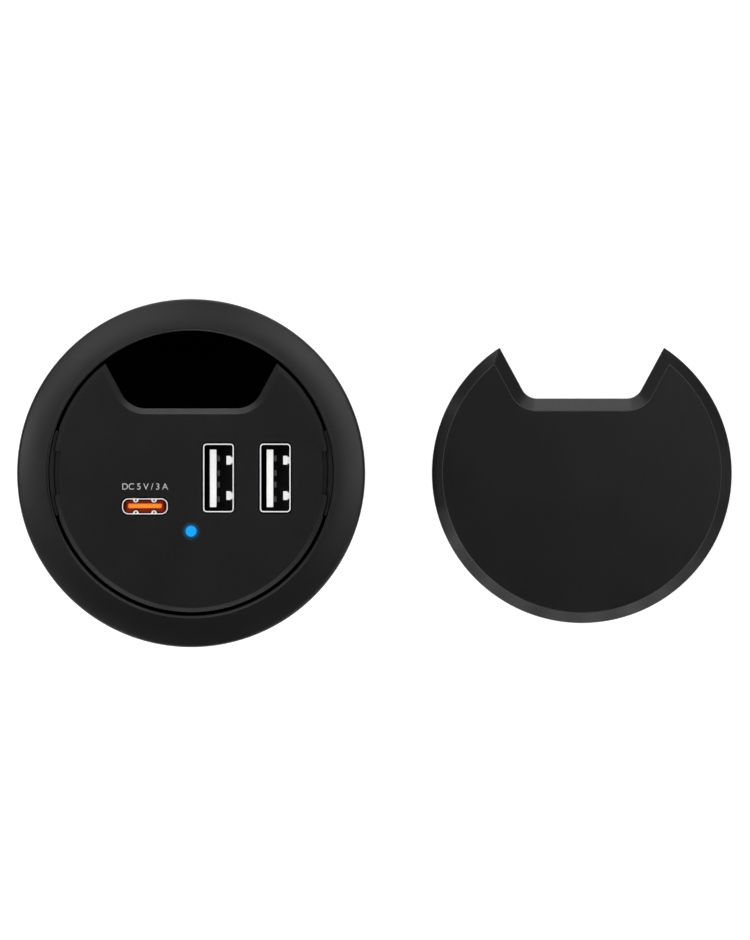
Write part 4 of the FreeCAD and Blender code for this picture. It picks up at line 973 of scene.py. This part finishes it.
def cover():
    """Cover: shallow cap with a wide bevel, the same notch, and two lugs in its hollow."""
    top, height, soft, foot = 3.0, 1.55, 0.28, 0.15
    overlap = 2.25
    disc(0, 0, PANEL_RADIUS + overlap, foot)
    cap = raised("cap", upward(edge_profile(top, foot, soft, 2.0, height, rim=0.2)))
    edit(cap)
    pick(lambda spot, face: face.normal.z < -0.9)
    bpy.ops.mesh.inset(thickness=foot, depth=foot)
    leave()
    combine(cap, notch_cutter("notch", -1.97, edge_profile(top, -1, soft, 2.37, height,
                                                           rim=0.2)))
    combine(cap, notched_block("hollow", 0.2, -1, 1.3))
    for middle in (0, math.pi):
        lug = ring_block("lug", 25.5, 26.1, 0, 1.5, middle, math.radians(8.1))
        combine(cap, lug, "UNION")
    # The line between the flat top and the bevels has its own lighter finish, a painted highlight
    # where the fillet catches the lamps
    edit(cap)
    assign(lambda spot, face: True, 0)
    assign(lambda spot, face: 0.845 < face.normal.z < 0.9965 and spot.z > top - 0.15, 1)
    leave()
    moved(cap, COVER_X, 0, FLOOR)
    finished(cap, "cap", [BLACK_CAP_SHADED, EDGE_HIGHLIGHT], "cover", "cover")


def port_legend():
    """Rating printed above the C port, in generic figures."""
    deselect()
    bpy.ops.object.text_add(location=(-8.74, -2.6, PANEL_TOP))
    text = bpy.context.object
    text.data.body = "DC 5 V / 3 A"
    text.data.size = 1.7
    text.data.space_character = 0.96
    text.data.align_x = text.data.align_y = "CENTER"
    text.data.extrude = 0.005
    bpy.ops.object.convert(target="MESH")
    legend = bpy.context.object
    finished(legend, "port_legend", plain("legend_ink", (0.5, 0.5, 0.5), 0.6))


for make in (desk_sleeve, pressure_washer, clamp_nut, port_panel, module_housing, base_plate,
             base_screws, usb_c_port, light_pipe, dc_inlet, cover, port_legend):
    make()
for port_side, port_place in USB_A_PLACES.items():
    usb_a_port(port_side, port_place)

# The parts inside keep their solids and get their own finishes
BOARD = laminate()
EPOXY = plain("chip_epoxy", (0.03, 0.03, 0.032), 0.5)
INSIDE = {
    "port_board": BOARD,
    "power_board": BOARD,
    "port_board_screws": SCREW_STEEL,
    "power_board_screws": SCREW_STEEL,
    "status_led": plain("emitter_case", (0.75, 0.88, 1.0), 0.25),
    "power_inductor": plain("ferrite", (0.1, 0.1, 0.11), 0.6),
    "smoothing_capacitors": plain("can_sleeve", (0.7, 0.7, 0.72), 0.35, 1.0),
    "control_chips": EPOXY,
    "small_parts": plain("ceramic_chip", (0.35, 0.27, 0.2), 0.45),
    "board_header": plain("header_gold", (0.75, 0.6, 0.3), 0.35, 1.0),
}
for node, finish in INSIDE.items():
    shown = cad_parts[node]
    shown.data.materials.clear()
    shown.data.materials.append(finish)


# Between the charger and the cover, in metres: the lamps face it
LIT_SPOT = (0.035, 0, -0.01)
LAMP_DISTANCE = 0.8


def stage_floor():
    """Floor: white to the camera and in reflections, and it keeps the shadow."""
    deselect()
    bpy.ops.mesh.primitive_circle_add(vertices=96, radius=6, fill_type="NGON",
                                      location=(0, 0, (FLOOR - 0.02) * MM))
    floor = bpy.context.object
    floor.name = "floor"
    made = Finish("white_floor", Base_Color=(0.8, 0.8, 0.8), Roughness=0.9,
                  Specular_IOR_Level=0.0, Emission_Color=(1.0, 1.0, 1.0))
    seen = made.node("ShaderNodeLightPath", out="Is Camera Ray")
    mirrored = made.node("ShaderNodeLightPath", out="Is Glossy Ray")
    through = made.node("ShaderNodeLightPath", out="Is Transmission Ray")
    made.set(Emission_Strength=(seen + mirrored + through) * 0.6)
    floor.data.materials.append(made.done())


def stage_well():
    """Black disc under the sleeve, painted shade so that the well shows as dark as a hole in a
    desk.
    """
    deselect()
    bpy.ops.mesh.primitive_circle_add(vertices=96, radius=26 * MM, fill_type="NGON",
                                      location=(0, 0, (FLOOR + 0.01) * MM))
    well = bpy.context.object
    well.name = "well"
    well.data.materials.append(plain("well_shade_black", (0.002, 0.002, 0.002), 0.9,
                                     Specular_IOR_Level=0.0))


def area_light(name, place, size, power, target=LIT_SPOT):
    """A soft lamp that faces a point, unseen by the camera."""
    lamp = bpy.data.lights.new(name, "AREA")
    lamp.shape = "RECTANGLE"
    lamp.size, lamp.size_y = size
    lamp.energy = power
    made = bpy.data.objects.new(name, lamp)
    bpy.context.collection.objects.link(made)
    made.location = place
    made.visible_camera = False
    made.rotation_euler = (Vector(target) - Vector(place)).to_track_quat("-Z", "Y").to_euler()


def world_light():
    """Dim belts above the horizon and near the top, and white to the camera."""
    world = bpy.data.worlds.new("studio")
    bpy.context.scene.world = world
    made = Nodes(world, "Background")
    direction = made.node("ShaderNodeTexCoord", out="Generated")
    height = made.node("ShaderNodeSeparateXYZ", out="Z", Vector=direction)
    belts = made.node("ShaderNodeValToRGB", stops=WORLD_BELTS, Fac=height)
    seen = made.node("ShaderNodeLightPath", out="Is Camera Ray")
    made.set(Color=made.blend(seen, belts, (1, 1, 1)))


# Sine of the height above the horizon, and how bright the world is there
WORLD_BELTS = [(0.12, 0.0), (0.18, 0.46), (0.32, 0.46), (0.38, 0.33), (0.57, 0.33), (0.63, 0.0),
               (0.82, 0.0), (0.88, 0.07), (0.94, 0.07), (1.0, 0.0)]
# Panels overhead, one metre up and facing down: x from and to, y from and to, watts
OVERHEAD = {
    "left": (-0.3, -0.02, 0.12, 0.3, 0.36),
    "left_back": (-0.3, -0.02, 0.3, 0.6, 0.44),
    "left_side": (-0.45, -0.1, -0.06, 0.03, 0.12),
    "far_left": (-0.6, -0.3, 0.03, 0.12, 0.49),
    "right": (0.09, 0.37, 0.12, 0.3, 0.44),
    "right_back": (0.09, 0.37, 0.3, 0.6, 0.33),
    "right_side": (0.17, 0.52, -0.06, 0.03, 0.23),
    "far_right": (0.37, 0.67, 0.03, 0.12, 0.4),
}
# Lamps round the object that face it: direction and height in degrees, size, watts
STRIP, SOFTBOX = (0.3, 0.12), (0.5, 0.25)
AROUND = [
    (0, 15, STRIP, 0.05), (66, 15, STRIP, 0.3), (90, 15, STRIP, 0.66), (114, 15, STRIP, 0.3),
    (66, 25, STRIP, 0.1), (90, 25, STRIP, 0.08), (114, 25, STRIP, 0.1), (157, 15, STRIP, 0.04),
    (207, 15, STRIP, 0.15), (225, 15, STRIP, 0.18), (240, 15, STRIP, 0.22),
    (255, 15, STRIP, 0.15), (270, 15, STRIP, 0.23), (285, 15, STRIP, 0.21),
    (300, 15, STRIP, 0.24), (315, 15, STRIP, 0.15), (330, 15, STRIP, 0.07),
    (53, 38, SOFTBOX, 0.55), (90, 36, SOFTBOX, 0.52), (127, 38, SOFTBOX, 0.55),
    (180, 45, SOFTBOX, 0.28), (225, 52, SOFTBOX, 1.7), (315, 52, SOFTBOX, 1.2),
]

stage_floor()
stage_well()
world_light()
for name, (x_from, x_to, y_from, y_to, watts) in OVERHEAD.items():
    x_mid, y_mid = (x_from + x_to) / 2, (y_from + y_to) / 2
    area_light(name, (x_mid, y_mid, 1.0), (x_to - x_from, y_to - y_from), watts,
               (x_mid, y_mid, 0))
for direction, height, size, watts in AROUND:
    turn, rise = math.radians(direction), math.radians(height)
    away = Vector((math.cos(rise) * math.cos(turn), math.cos(rise) * math.sin(turn),
                   math.sin(rise)))
    area_light("around_%d_%d" % (direction, height), Vector(LIT_SPOT) + LAMP_DISTANCE * away,
               size, watts)
# Two faint cards between the charger and the cover fill in the cover's near side
area_light("card", (0.0385, 0, -0.026), (0.04, 0.02), 0.0012, (1, 0, -0.026))
area_light("card_near", (0.0373, -0.0158, -0.026), (0.012, 0.02), 0.00045, (0.0697, 0, -0.026))
# A small lamp above the cover's far corner lets its flat top fall off in tone
area_light("cover_sheen", (0.107, 0.033, 0.3), (0.06, 0.06), 0.005, (0.107, 0.033, 0))

# The camera looks straight down from far off, on a view of this height in metres
FRAME_HEIGHT = 0.1781
camera = bpy.data.cameras.new("camera")
camera.lens = 1000
camera.sensor_width = 36
camera.clip_start, camera.clip_end = 0.5, 20
eye = bpy.data.objects.new("camera", camera)
bpy.context.collection.objects.link(eye)
eye.location = (0.03485, 0.00059, 0.0015 + FRAME_HEIGHT * camera.lens / camera.sensor_width)
bpy.context.scene.camera = eye
bpy.context.scene.view_settings.view_transform = "Standard"
